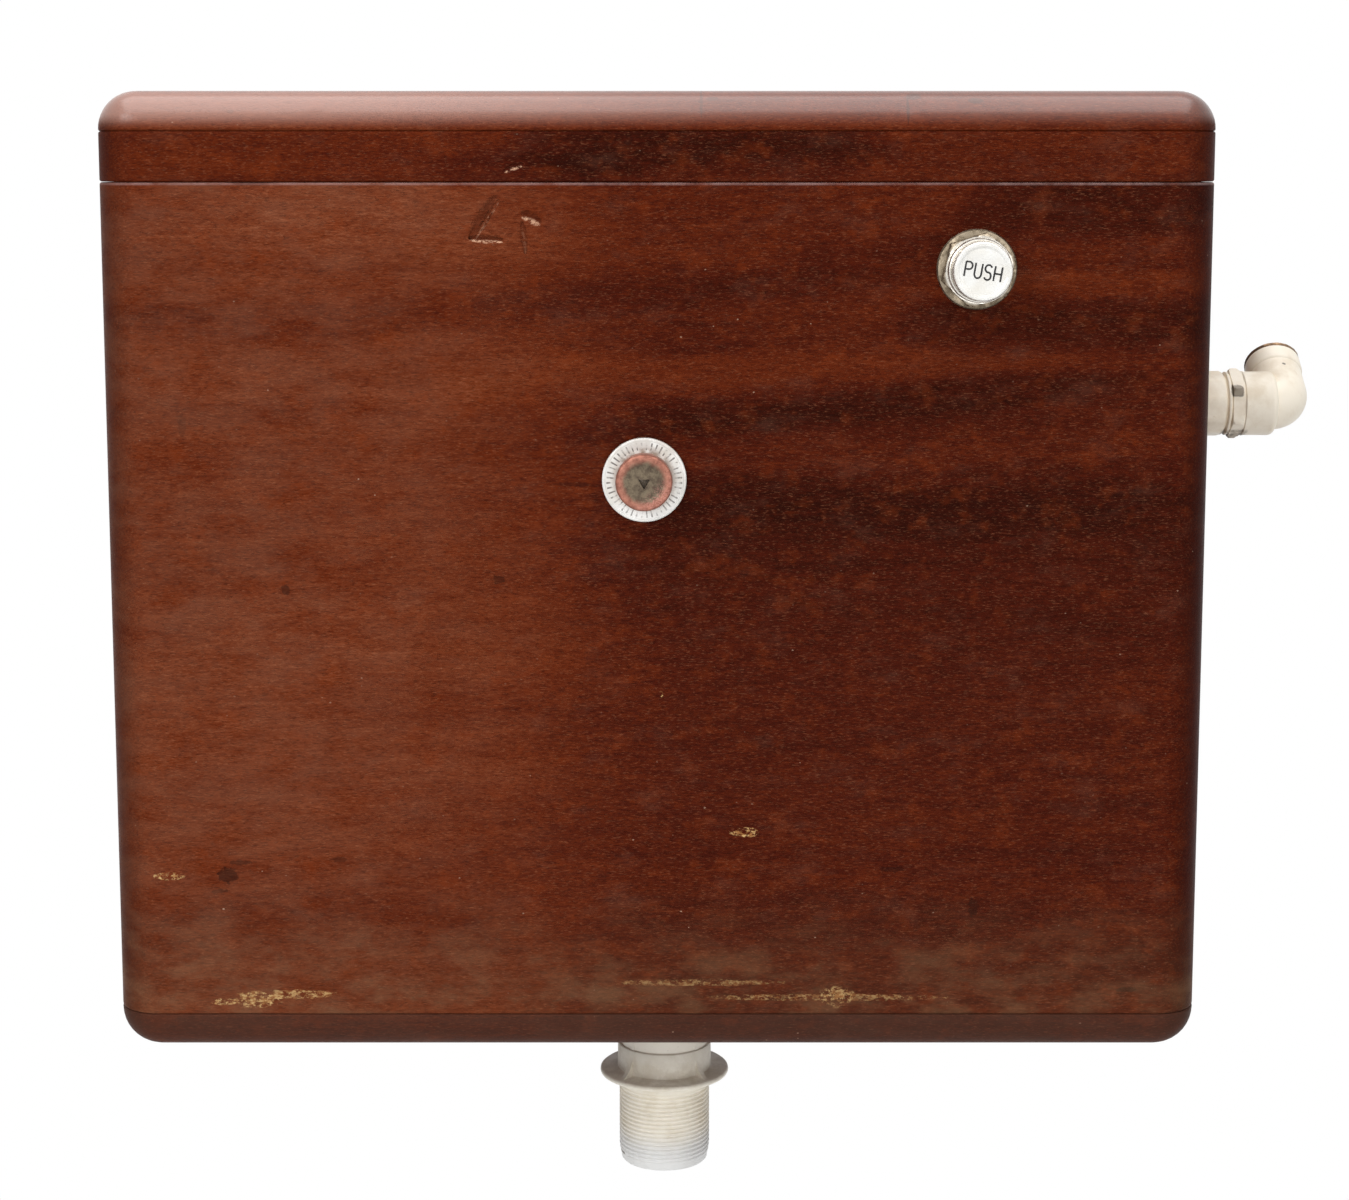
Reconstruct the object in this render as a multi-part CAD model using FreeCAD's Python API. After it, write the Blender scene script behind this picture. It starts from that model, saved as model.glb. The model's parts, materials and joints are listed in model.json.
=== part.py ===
import FreeCAD, Part
import math
import os

# Low-level wooden-cased flushing cistern: a hardwood case with a lift-off lid, an inner
# plastic tank, a piston siphon with a threaded outlet tail, a side-entry float valve with a
# swivel elbow, a push button and a lever spindle, all in millimetres.
# The model is drawn with X to the right, Y towards the wall and Z up, from the middle of the
# case's underside at the wall, and is moved at the end so that its origin is the middle of
# the two wall screws.

V = FreeCAD.Vector
ALONG_X = V(1, 0, 0)
ALONG_Y = V(0, 1, 0)
ALONG_Z = V(0, 0, 1)

# ---- driving dimensions: case and lid -------------------------------------------------
CASE_WIDTH = 532.0
CASE_DEPTH = 205.0
BOTTOM_THICK = 20.0
BODY_HEIGHT = 405.0
FRONT_THICK = 22.0
SIDE_THICK = 20.0
BACK_THICK = 12.0
REBATE_WIDTH = 10.0
LID_SEAT_GAP = 0.3
LID_RAIL_HEIGHT = 23.7
LID_RAIL_THICK = 20.0
LID_TOP_THICK = 19.0
CORNER_ROUND = 21.0
TOP_ROUND = 18.0
BOTTOM_ROUND = 19.0
EASED_EDGE = 1.1
TONGUE_THICK = 8.0
TONGUE_DEEP = 7.0
GLUE_GAP = 0.1
GLUE_BLOCK_LEG = 18.0
GLUE_BLOCK_HEIGHT = 120.0
LOCATING_BLOCK = 26.0
LOCATING_BLOCK_THICK = 14.0
LOCATING_BLOCK_DROP = 10.0
LOCATING_CLEARANCE = 1.0

# ---- driving dimensions: screws -------------------------------------------------------
WALL_SCREW_SPACING = 360.0
WALL_SCREW_DROP = 85.0
WALL_SCREW_HOLE_R = 3.5
WOOD_SCREW_R = 2.0
WOOD_SCREW_HEAD_R = 4.0
WOOD_SCREW_HEAD = 2.6
WOOD_SCREW_BITE = 22.0
SCREW_FIT = 0.05
BOTTOM_SCREW_INSET = 4.5

# ---- driving dimensions: inner tank ---------------------------------------------------
TANK_WALL = 4.0
TANK_TOP_DROP = 26.4
TANK_CORNER = 30.0
TANK_FOOT_ROUND = 12.0
TANK_RIM = 5.0
TANK_SIDE_ROOM = 10.0
TANK_FRONT_ROOM = 6.0
TANK_BACK_ROOM = 6.0

# ---- driving dimensions: siphon and outlet tail ---------------------------------------
OUTLET_X = 3.0
TAIL_R = 23.4
TAIL_BORE = 20.5
TAIL_TOP = 60.0
TAIL_FLANGE_DROP = 42.0
TAIL_FLANGE_R = 34.0
TAIL_FLANGE_THICK = 3.0
TAIL_THREAD_R = 23.9
TAIL_THREAD_LENGTH = 47.0
TAIL_LEAD_IN = 8.0
TAIL_LEAD_IN_R = 22.8
TAIL_COLLAR_R = 24.6
TAIL_COLLAR_HEIGHT = 14.0
GUSSET_HEIGHT = 17.0
GUSSET_THICK = 2.4
GUSSET_REACH = 9.5
SIPHON_PITCH = 75.0
SIPHON_PIPE_R = 23.0
SIPHON_PIPE_WALL = 3.0
SIPHON_WEB = 4.0
SIPHON_CROWN_DROP = 53.0
CHAMBER_R = 46.0
CHAMBER_WALL = 3.5
CHAMBER_FOOT = 14.0
CHAMBER_FOOT_WIDTH = 10.0
CHAMBER_FOOT_OUT = 4.0
CHAMBER_FOOT_GRIP = 6.0
CHAMBER_TOP_Z = 122.0
CHAMBER_SHOULDER = 16.0
SOCKET_R = 27.0
SOCKET_LENGTH = 38.0
SOCKET_FOOT_Z = 37.0
SOCKET_FIT = 0.2
O_RING_R = 1.6
O_RING_Z = 50.0
GROMMET_LIP = 6.0
GROMMET_LIP_THICK = 3.0
GROMMET_WALL = 3.6
ROD_R = 3.0
ROD_FIT = 0.05
ROD_BOSS_R = 8.0
ROD_BOSS_RISE = 55.0
PISTON_FIT = 0.5
PISTON_THICK = 5.0
PISTON_REST_Z = 52.0
PISTON_PORT_R = 7.0
PISTON_PORT_PITCH = 24.0
PISTON_HUB_R = 9.0
PISTON_HUB_LENGTH = 6.0
DIAPHRAGM_THICK = 1.2
PISTON_LIFT = 30.0

# ---- driving dimensions: rocking linkage ----------------------------------------------
ROCK_SHAFT_R = 4.0
ROCK_SHAFT_SETBACK = 19.0
ROCK_SHAFT_DROP = 23.0
SHAFT_FIT = 0.05
LIFT_ARM = 60.0
LIFT_ARM_OVERREACH = 1.0
LEVER_THICK = 4.0
PUSH_PAD_DROP = 7.0
LEVER_HUB_R = 8.0
LEVER_HUB_LENGTH = 12.0
LINK_PIN_R = 2.5
PIN_FIT = 0.1
BRACKET_WIDTH = 12.0
BRACKET_FOOT = 4.0
BRACKET_HEIGHT = 34.0
BRACKET_BOSS_R = 9.0
COLLAR_R = 7.5
COLLAR_LENGTH = 6.0
LINK_THICK = 3.0
LINK_WIDTH = 14.0
LINK_BUSH_GAP = 2.0
LINK_BUSH_LENGTH = 9.0
LINK_BUSH_R = 6.0
CLEVIS_GAP = 8.0
CLEVIS_DEPTH = 13.0
CLEVIS_DROP = 19.0
CLEVIS_RISE = 6.5
LUG_HEIGHT = 16.0

# ---- driving dimensions: push button --------------------------------------------------
BUTTON_X = 151.0
BUTTON_DROP = 40.7
BUTTON_FLANGE_R = 19.0
BUTTON_FLANGE_THICK = 3.0
BUTTON_HEX_FLATS = 31.2
BUTTON_HEX_THICK = 8.5
BUTTON_HEX_TURN = 47.0
BUTTON_COLLAR_R = 15.0
BUTTON_COLLAR_LENGTH = 5.5
BUTTON_CUP_R = 13.8
BUTTON_CUP_FIT = 0.05
BUTTON_CUP_LENGTH = 12.0
BUTTON_CUP_PROUD = 9.6
BUTTON_CHINA_R = 12.7
BUTTON_CHINA_DEEP = 4.0
BUTTON_CHINA_PROUD = 0.8
BUTTON_BARREL_R = 12.0
BUTTON_BARREL_END = 7.0
PANEL_HOLE_FIT = 0.4
BUTTON_STEM_R = 4.0
BUTTON_GUIDE_LENGTH = 14.0
SPRING_POCKET_R = 7.0
SPRING_COIL_R = 5.7
SPRING_WIRE_R = 0.6
SPRING_TURNS = 6
SPRING_END_GAP = 0.1
BACKNUT_FLATS = 32.0
BACKNUT_THICK = 5.0
TAIL_NUT_R = 6.0
TAIL_NUT_THICK = 3.0

# ---- driving dimensions: lever spindle ------------------------------------------------
SPINDLE_X = -6.0
SPINDLE_DROP = 140.6
SPINDLE_RING_R = 20.15
SPINDLE_RING_THICK = 4.0
SPINDLE_BOSS_R = 13.5
SPINDLE_BOSS_LENGTH = 11.0
SPINDLE_DISH_R = 9.6
SPINDLE_DISH_DEEP = 1.6
SPINDLE_SOCKET_SIDE = 6.0
SPINDLE_SOCKET_DEEP = 4.0
SPINDLE_BUSH_R = 9.0
SPINDLE_BUSH_END = 11.0
SPINDLE_R = 5.0
SPINDLE_NUT_FLATS = 26.0
CRANK_RADIUS = 66.4
CRANK_PIN_BELOW = 7.0
CRANK_THICK = 4.0
CRANK_END_R = 5.5
CRANK_PIN_FIT = 0.3
CRANK_TO_LINK = 2.0

# ---- driving dimensions: float valve and inlet ----------------------------------------
INLET_DROP = 113.5
VALVE_R = 13.0
VALVE_INNER_END = 64.0
VALVE_OUTER_END = 27.0
VALVE_PISTON_R = 8.5
VALVE_PISTON_FIT = 0.1
VALVE_PISTON_LENGTH = 26.0
VALVE_PISTON_SETBACK = 4.0
VALVE_SEAT_THICK = 3.0
VALVE_SEAT_HOLE = 2.5
VALVE_SEAT_GAP = 0.25
VALVE_INLET_BORE = 6.0
VALVE_CAP_LENGTH = 9.0
VALVE_CAP_R = 15.5
VALVE_SPOUT_R = 6.0
VALVE_SPOUT_BORE = 4.5
VALVE_SPOUT_DROP = 16.0
FULCRUM_INSET = 50.0
FULCRUM_DROP = 14.0
FULCRUM_PIN_R = 2.0
LUG_THICK = 3.0
LUG_GAP = 7.0
FLOAT_HUB_R = 5.5
FLOAT_ARM = 134.0
FLOAT_ROD_R = 3.0
FLOAT_BALL_R = 50.0
FLOAT_WALL = 2.0
FLOAT_BOSS_WALL = 4.0
FLOAT_BOSS_OUT = 7.0
FLOAT_ROD_BITE = 6.0
FLOAT_EMPTY = 71.0
FLOAT_FULL = 45.0
WASHER_R = 17.5
WASHER_THICK = 1.5
VALVE_NUT_FLATS = 32.0
VALVE_NUT_THICK = 7.0
OUTER_COLLAR_R = 16.9
OUTER_COLLAR_SIDES = 12
OUTER_COLLAR_LENGTH = 23.0
UNION_NUT_ACROSS = 36.0
UNION_NUT_THICK = 8.5
ELBOW_COLLAR_R = 16.35
ELBOW_COLLAR_LENGTH = 17.0
ELBOW_BEND_OUT = 55.0
ELBOW_R = 14.15
ELBOW_TILT = 55.0
ELBOW_ARM = 30.5
INLET_RIM_THICK = 2.5
INLET_BORE = 9.3
INLET_BUSH_R = 11.6
INLET_BUSH_LENGTH = 13.0

# ---- worked-out places ----------------------------------------------------------------
HALF_WIDTH = CASE_WIDTH / 2
BODY_TOP = BOTTOM_THICK + BODY_HEIGHT
LID_FOOT = BODY_TOP + LID_SEAT_GAP
LID_BOARD_Z = LID_FOOT + LID_RAIL_HEIGHT
CASE_TOP = LID_BOARD_Z + LID_TOP_THICK
FRONT_Y = -CASE_DEPTH
FRONT_INSIDE = FRONT_Y + FRONT_THICK
SIDE_INSIDE = HALF_WIDTH - SIDE_THICK
TANK_FLOOR = BOTTOM_THICK + TANK_WALL
WALL_SCREW_HEIGHT = BODY_TOP - WALL_SCREW_DROP
BUTTON_Z = BODY_TOP - BUTTON_DROP
SPINDLE_Z = BODY_TOP - SPINDLE_DROP
INLET_Z = BODY_TOP - INLET_DROP
ROCK_SHAFT_Y = FRONT_INSIDE + ROCK_SHAFT_SETBACK
ROCK_SHAFT_Z = BODY_TOP - ROCK_SHAFT_DROP
OUTLET_Y = ROCK_SHAFT_Y + LIFT_ARM - LIFT_ARM_OVERREACH
INLET_Y = OUTLET_Y
TANK_TOP = SPINDLE_Z - TANK_TOP_DROP
SIPHON_CROWN_Z = TANK_TOP - SIPHON_CROWN_DROP
ROD_BOSS_TOP = SIPHON_CROWN_Z + ROD_BOSS_RISE
RISER_X = OUTLET_X - SIPHON_PITCH
SWING = math.degrees(math.asin(PISTON_LIFT / 2 / LIFT_ARM))
PUSH_ARM = ROCK_SHAFT_Z - BUTTON_Z
BUTTON_STROKE = 2 * PUSH_ARM * math.tan(math.radians(SWING))
LINK_PIN_Z = ROCK_SHAFT_Z - PISTON_LIFT / 2
CRANK_REST = math.degrees(math.asin(CRANK_PIN_BELOW / CRANK_RADIUS))
CRANK_FULL = math.degrees(math.asin((PISTON_LIFT - CRANK_PIN_BELOW) / CRANK_RADIUS))
FLOAT_SWING = FLOAT_EMPTY - FLOAT_FULL
FULCRUM_X = SIDE_INSIDE - FULCRUM_INSET
FULCRUM_Z = INLET_Z - FULCRUM_DROP
PISTON_TRAVEL = 2 * FULCRUM_DROP * math.sin(math.radians(FLOAT_SWING / 2))


# ---- shape helpers --------------------------------------------------------------------
def block(x, y, z):
    """Box from (low, high) pairs."""
    return Part.makeBox(x[1] - x[0], y[1] - y[0], z[1] - z[0], V(x[0], y[0], z[0]))


def rod(start, along, length, radius):
    return Part.makeCylinder(radius, length, start, along)


def tube(start, along, length, outer, inner):
    return rod(start, along, length, outer).cut(rod(start, along, length, inner))


def prism(start, along, length, corner_radius, sides, turn=0.0):
    """Regular prism about an axis, with its first corner turned from the local zero."""
    points = []
    for i in range(sides + 1):
        angle = math.radians(turn) + 2 * math.pi * i / sides
        points.append(V(corner_radius * math.cos(angle), corner_radius * math.sin(angle), 0))
    solid = Part.Face(Part.makePolygon(points)).extrude(V(0, 0, length))
    solid.Placement = FreeCAD.Placement(start, FreeCAD.Rotation(ALONG_Z, along))
    return solid


def hexagon(start, along, length, across_flats, turn=0.0):
    """Hexagon with its corners bevelled at both ends, as a turned nut has."""
    corner = across_flats / math.sqrt(3)
    nut = prism(start, along, length, corner, 6, turn)
    bevel = (corner - across_flats / 2) * 0.6
    lathe = Part.makeCone(corner - bevel, corner, bevel, start, along)
    lathe = lathe.fuse(rod(start + along * bevel, along, length - 2 * bevel, corner))
    lathe = lathe.fuse(Part.makeCone(corner, corner - bevel, bevel,
                                     start + along * (length - bevel), along))
    return nut.common(lathe)


def ring_edges(shape, radius):
    """Circular edges of one radius."""
    return [e for e in shape.Edges
            if hasattr(e.Curve, "Radius") and abs(e.Curve.Radius - radius) < 1e-6]


def rounded_outline(grow, z):
    """Plan outline of the case at one height, its back carried on past the wall."""
    radius = min(CORNER_ROUND, FRONT_THICK - 1) + grow
    left = -HALF_WIDTH - grow
    right = HALF_WIDTH + grow
    front = FRONT_Y - grow
    back = CASE_DEPTH
    edges = [
        Part.makeLine(V(left, back, z), V(left, front + radius, z)),
        Part.makeCircle(radius, V(left + radius, front + radius, z), ALONG_Z, 180, 270),
        Part.makeLine(V(left + radius, front, z), V(right - radius, front, z)),
        Part.makeCircle(radius, V(right - radius, front + radius, z), ALONG_Z, 270, 360),
        Part.makeLine(V(right, front + radius, z), V(right, back, z)),
        Part.makeLine(V(right, back, z), V(left, back, z)),
    ]
    return Part.Wire(edges)


def case_form():
    """The whole outside of case and lid as one solid with its rounded front and edges."""
    form = block((-HALF_WIDTH, HALF_WIDTH), (FRONT_Y, 0), (0, CASE_TOP))
    upright = [e for e in form.Edges
               if e.BoundBox.ZLength > CASE_TOP - 1 and e.BoundBox.YMax < -1]
    form = form.makeFillet(min(CORNER_ROUND, FRONT_THICK - 1), upright)
    for z, radius in ((CASE_TOP, min(TOP_ROUND, LID_TOP_THICK - 1)),
                      (0, min(BOTTOM_ROUND, BOTTOM_THICK - 1))):
        around = [e for e in form.Edges
                  if abs(e.BoundBox.ZMin - z) < 1e-6 and abs(e.BoundBox.ZMax - z) < 1e-6
                  and e.BoundBox.YMin < -1]
        form = form.makeFillet(radius, around)
    return form


def seam_groove(z):
    """Shallow V that runs round the front and sides where two boards meet."""
    band = Part.Face(rounded_outline(2 * EASED_EDGE, z - EASED_EDGE))
    band = band.extrude(V(0, 0, 2 * EASED_EDGE))
    lower = Part.makeLoft([rounded_outline(0, z - EASED_EDGE),
                           rounded_outline(-EASED_EDGE, z)], True, True)
    upper = Part.makeLoft([rounded_outline(-EASED_EDGE, z),
                           rounded_outline(0, z + EASED_EDGE)], True, True)
    return band.cut(lower).cut(upper)


CASE_FORM = case_form()
SEAMS = [seam_groove(BOTTOM_THICK), seam_groove(BODY_TOP + LID_SEAT_GAP / 2),
         seam_groove(LID_BOARD_Z)]


def board(x, y, z):
    """Board shaped by the outside of the case, with eased edges at its seams."""
    piece = block(x, y, z).common(CASE_FORM)
    for groove in SEAMS:
        piece = piece.cut(groove)
    return piece


def mirrored(shape):
    return shape.mirror(V(0, 0, 0), ALONG_X)


def wood_screw(head, along):
    """Countersunk screw from the face of its head."""
    cone = Part.makeCone(WOOD_SCREW_HEAD_R, WOOD_SCREW_R, WOOD_SCREW_HEAD, head, along)
    slot_deep = WOOD_SCREW_HEAD * 0.4
    slot = Part.makeBox(WOOD_SCREW_HEAD_R * 2, WOOD_SCREW_R * 0.4, slot_deep)
    slot.translate(V(-WOOD_SCREW_HEAD_R, -WOOD_SCREW_R * 0.2, 0))
    slot.Placement = FreeCAD.Placement(head, FreeCAD.Rotation(ALONG_Z, along)).multiply(
        slot.Placement)
    return cone.cut(slot)


def screw_through(head, along, board_thick):
    """Screw that passes one board and bites into the next."""
    shank = rod(head, along, board_thick + WOOD_SCREW_BITE, WOOD_SCREW_R)
    head_space = Part.makeCone(WOOD_SCREW_HEAD_R, WOOD_SCREW_R, WOOD_SCREW_HEAD, head, along)
    shank = shank.cut(rod(head, along, WOOD_SCREW_HEAD * 0.5, WOOD_SCREW_R))
    return wood_screw(head, along).fuse(shank.cut(head_space))


def screw_hole(head, along, board_thick):
    """Room for that screw in both boards."""
    hole = rod(head, along, board_thick + WOOD_SCREW_BITE + SCREW_FIT, WOOD_SCREW_R + SCREW_FIT)
    sink = Part.makeCone(WOOD_SCREW_HEAD_R + SCREW_FIT, WOOD_SCREW_R + SCREW_FIT,
                         WOOD_SCREW_HEAD, head, along)
    return hole.fuse(sink)


NODES = {}


def node(name, *solids):
    """Keep one sub-part; several solids make one group."""
    NODES[name] = solids[0] if len(solids) == 1 else Part.makeCompound(list(solids))


# ---- screw places ---------------------------------------------------------------------
def bottom_screw_heads():
    row_y = FRONT_INSIDE - BOTTOM_SCREW_INSET
    row_x = SIDE_INSIDE + BOTTOM_SCREW_INSET
    spots = [V(x, row_y, 0) for x in (-CASE_WIDTH / 3, 0, CASE_WIDTH / 3)]
    for side in (-row_x, row_x):
        spots += [V(side, y, 0) for y in (FRONT_INSIDE * 0.75, FRONT_INSIDE * 0.25)]
    return spots


def back_screw_heads():
    side = SIDE_INSIDE + REBATE_WIDTH / 2
    heights = [BOTTOM_THICK + BODY_HEIGHT * share for share in (0.1, 0.5, 0.9)]
    return [V(x, 0, z) for x in (-side, side) for z in heights]


def bracket_screw_heads():
    face = FRONT_INSIDE + BRACKET_FOOT
    rise = BRACKET_HEIGHT / 2 - 5
    return [V(x, face, ROCK_SHAFT_Z + dz) for x in bracket_places() for dz in (-rise, rise)]


def bracket_places():
    """Middle of each shaft bracket: beside the button's lever and near the lift lever."""
    return (BUTTON_X - LEVER_HUB_LENGTH / 2 - BRACKET_WIDTH / 2 - 13,
            RISER_X + LEVER_HUB_LENGTH / 2 + BRACKET_WIDTH / 2 + 15)


# ---- case -----------------------------------------------------------------------------
def make_case():
    body = (BOTTOM_THICK, BODY_TOP)
    tongue_x = (HALF_WIDTH - SIDE_THICK / 2 - TONGUE_THICK / 2,
                HALF_WIDTH - SIDE_THICK / 2 + TONGUE_THICK / 2)
    groove = block((tongue_x[0] - GLUE_GAP, tongue_x[1] + GLUE_GAP),
                   (FRONT_INSIDE - TONGUE_DEEP - GLUE_GAP, FRONT_INSIDE), body)

    front = board((-HALF_WIDTH, HALF_WIDTH), (FRONT_Y, FRONT_INSIDE), body)
    front = front.cut(groove).cut(mirrored(groove))
    front = front.cut(rod(V(BUTTON_X, FRONT_Y, BUTTON_Z), ALONG_Y, FRONT_THICK,
                          BUTTON_BARREL_R + PANEL_HOLE_FIT))
    front = front.cut(rod(V(SPINDLE_X, FRONT_Y, SPINDLE_Z), ALONG_Y, FRONT_THICK,
                          SPINDLE_BUSH_R + PANEL_HOLE_FIT))

    side = board((SIDE_INSIDE, HALF_WIDTH), (FRONT_INSIDE, 0), body)
    side = side.fuse(block(tongue_x, (FRONT_INSIDE - TONGUE_DEEP, FRONT_INSIDE), body))
    side = side.cut(block((SIDE_INSIDE, SIDE_INSIDE + REBATE_WIDTH), (-BACK_THICK, 0), body))
    left = mirrored(side)
    right = side.cut(rod(V(SIDE_INSIDE, INLET_Y, INLET_Z), ALONG_X, SIDE_THICK,
                         VALVE_R + PANEL_HOLE_FIT))

    back = block((-SIDE_INSIDE - REBATE_WIDTH, SIDE_INSIDE + REBATE_WIDTH),
                 (-BACK_THICK, 0), body)
    for x in (-WALL_SCREW_SPACING / 2, WALL_SCREW_SPACING / 2):
        back = back.cut(rod(V(x, -BACK_THICK, WALL_SCREW_HEIGHT), ALONG_Y, BACK_THICK,
                            WALL_SCREW_HOLE_R))

    bottom = board((-HALF_WIDTH, HALF_WIDTH), (FRONT_Y, 0), (0, BOTTOM_THICK))
    bottom = bottom.cut(rod(V(OUTLET_X, OUTLET_Y, 0), ALONG_Z, BOTTOM_THICK,
                            TAIL_R + GROMMET_WALL + GROMMET_LIP))

    for head in bottom_screw_heads():
        hole = screw_hole(head, ALONG_Z, BOTTOM_THICK)
        bottom = bottom.cut(hole)
        front = front.cut(hole)
        left = left.cut(hole)
        right = right.cut(hole)
    for head in back_screw_heads():
        hole = screw_hole(head, -ALONG_Y, BACK_THICK)
        back = back.cut(hole)
        left = left.cut(hole)
        right = right.cut(hole)
    for head in bracket_screw_heads():
        front = front.cut(bracket_screw(head, SCREW_FIT))

    node("front_panel", front)
    node("left_side_panel", left)
    node("right_side_panel", right)
    node("back_panel", back)
    node("bottom_board", bottom)
    node("bottom_screws", *[screw_through(h, ALONG_Z, BOTTOM_THICK)
                            for h in bottom_screw_heads()])
    node("back_screws", *[screw_through(h, -ALONG_Y, BACK_THICK) for h in back_screw_heads()])


def make_glue_blocks():
    """Three-cornered blocks glued into the upright corners above the tank."""
    low = BODY_TOP - GLUE_BLOCK_HEIGHT - LOCATING_BLOCK_DROP - LOCATING_CLEARANCE
    leg = GLUE_BLOCK_LEG
    blocks = []
    for y, inward in ((FRONT_INSIDE, 1), (-BACK_THICK, -1)):
        corner = V(SIDE_INSIDE, y, low)
        outline = Part.makePolygon([corner, corner - ALONG_X * leg,
                                    corner + ALONG_Y * leg * inward, corner])
        wedge = Part.Face(outline).extrude(V(0, 0, GLUE_BLOCK_HEIGHT))
        blocks += [wedge, mirrored(wedge)]
    node("glue_blocks", *blocks)


# ---- lid ------------------------------------------------------------------------------
def make_lid():
    rail = (LID_FOOT, LID_BOARD_Z)
    inside = HALF_WIDTH - LID_RAIL_THICK
    side = board((inside, HALF_WIDTH), (FRONT_INSIDE, 0), rail)
    node("lid_top_board", board((-HALF_WIDTH, HALF_WIDTH), (FRONT_Y, 0), (LID_BOARD_Z, CASE_TOP)))
    node("lid_front_rail", board((-HALF_WIDTH, HALF_WIDTH), (FRONT_Y, FRONT_INSIDE), rail))
    node("lid_left_rail", mirrored(side))
    node("lid_right_rail", side)
    node("lid_back_rail", block((-inside, inside), (-LID_RAIL_THICK, 0), rail))

    drop = (BODY_TOP - LOCATING_BLOCK_DROP, LID_BOARD_Z)
    x = (SIDE_INSIDE - LOCATING_CLEARANCE - LOCATING_BLOCK_THICK,
         SIDE_INSIDE - LOCATING_CLEARANCE)
    middle = (FRONT_INSIDE - BACK_THICK) / 2
    y = (middle - LOCATING_BLOCK, middle + LOCATING_BLOCK)
    peg = block(x, y, drop)
    packing = block((x[1], inside), y, (LID_FOOT, LID_BOARD_Z))
    peg = peg.fuse(packing).removeSplitter()
    lower = [e for e in peg.Edges if e.BoundBox.ZMax < drop[0] + 1e-6]
    peg = peg.makeChamfer(LOCATING_CLEARANCE * 2, lower)
    node("lid_locating_blocks", peg, mirrored(peg))


# ---- inner tank -----------------------------------------------------------------------
def tank_form(inset, floor, top):
    x = SIDE_INSIDE - TANK_SIDE_ROOM - inset
    front = FRONT_INSIDE + TANK_FRONT_ROOM + inset
    back = -BACK_THICK - TANK_BACK_ROOM - inset
    form = block((-x, x), (front, back), (floor, top))
    upright = [e for e in form.Edges if e.BoundBox.ZLength > 1]
    form = form.makeFillet(TANK_CORNER - inset, upright)
    foot = [e for e in form.Edges if e.BoundBox.ZMax < floor + 1e-6]
    return form, foot


def make_tank():
    outer, foot = tank_form(0, BOTTOM_THICK, TANK_TOP)
    outer = outer.makeFillet(TANK_FOOT_ROUND, foot)
    rim, foot = tank_form(-TANK_RIM, TANK_TOP - TANK_WALL, TANK_TOP)
    inner, foot = tank_form(TANK_WALL, TANK_FLOOR, TANK_TOP + 1)
    inner = inner.makeFillet(TANK_FOOT_ROUND - TANK_WALL, foot)
    tank = outer.fuse(rim).cut(inner)
    tank = tank.cut(rod(V(OUTLET_X, OUTLET_Y, BOTTOM_THICK), ALONG_Z, TANK_WALL,
                        TAIL_R + GROMMET_WALL))
    node("inner_tank", tank)

    neck = TAIL_R + GROMMET_WALL
    lip = neck + GROMMET_LIP - PANEL_HOLE_FIT
    low = BOTTOM_THICK - GROMMET_LIP_THICK
    centre = V(OUTLET_X, OUTLET_Y, low)
    grommet = rod(centre, ALONG_Z, TANK_WALL + 2 * GROMMET_LIP_THICK, neck)
    grommet = grommet.fuse(rod(centre, ALONG_Z, GROMMET_LIP_THICK, lip))
    grommet = grommet.fuse(rod(V(OUTLET_X, OUTLET_Y, TANK_FLOOR), ALONG_Z,
                               GROMMET_LIP_THICK, lip))
    grommet = grommet.cut(rod(centre, ALONG_Z, TANK_WALL + 2 * GROMMET_LIP_THICK, TAIL_R))
    node("tank_floor_grommet", grommet)


# ---- siphon ---------------------------------------------------------------------------
def siphon_core(radius, leg_foot):
    """Riser, crown and down leg as one solid of this radius."""
    crown_r = SIPHON_PITCH / 2
    middle = V(OUTLET_X - crown_r, OUTLET_Y, SIPHON_CROWN_Z)
    crown = Part.makeTorus(crown_r, radius, middle, ALONG_Y)
    crown = crown.common(block((RISER_X - radius, OUTLET_X + radius),
                               (OUTLET_Y - radius, OUTLET_Y + radius),
                               (SIPHON_CROWN_Z, SIPHON_CROWN_Z + crown_r + radius)))
    riser = rod(V(RISER_X, OUTLET_Y, CHAMBER_TOP_Z), ALONG_Z, SIPHON_CROWN_Z - CHAMBER_TOP_Z,
                radius)
    leg = rod(V(OUTLET_X, OUTLET_Y, leg_foot), ALONG_Z, SIPHON_CROWN_Z - leg_foot, radius)
    return crown.fuse([riser, leg])


def chamber_profile(radius, foot, shoulder, neck):
    """Half section of the chamber: a drum with a sloping shoulder up to the riser."""
    points = [V(0, 0, foot), V(radius, 0, foot), V(radius, 0, shoulder),
              V(neck, 0, CHAMBER_TOP_Z), V(0, 0, CHAMBER_TOP_Z), V(0, 0, foot)]
    solid = Part.Face(Part.makePolygon(points)).revolve(V(0, 0, 0), ALONG_Z, 360)
    solid.translate(V(RISER_X, OUTLET_Y, 0))
    return solid


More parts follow.
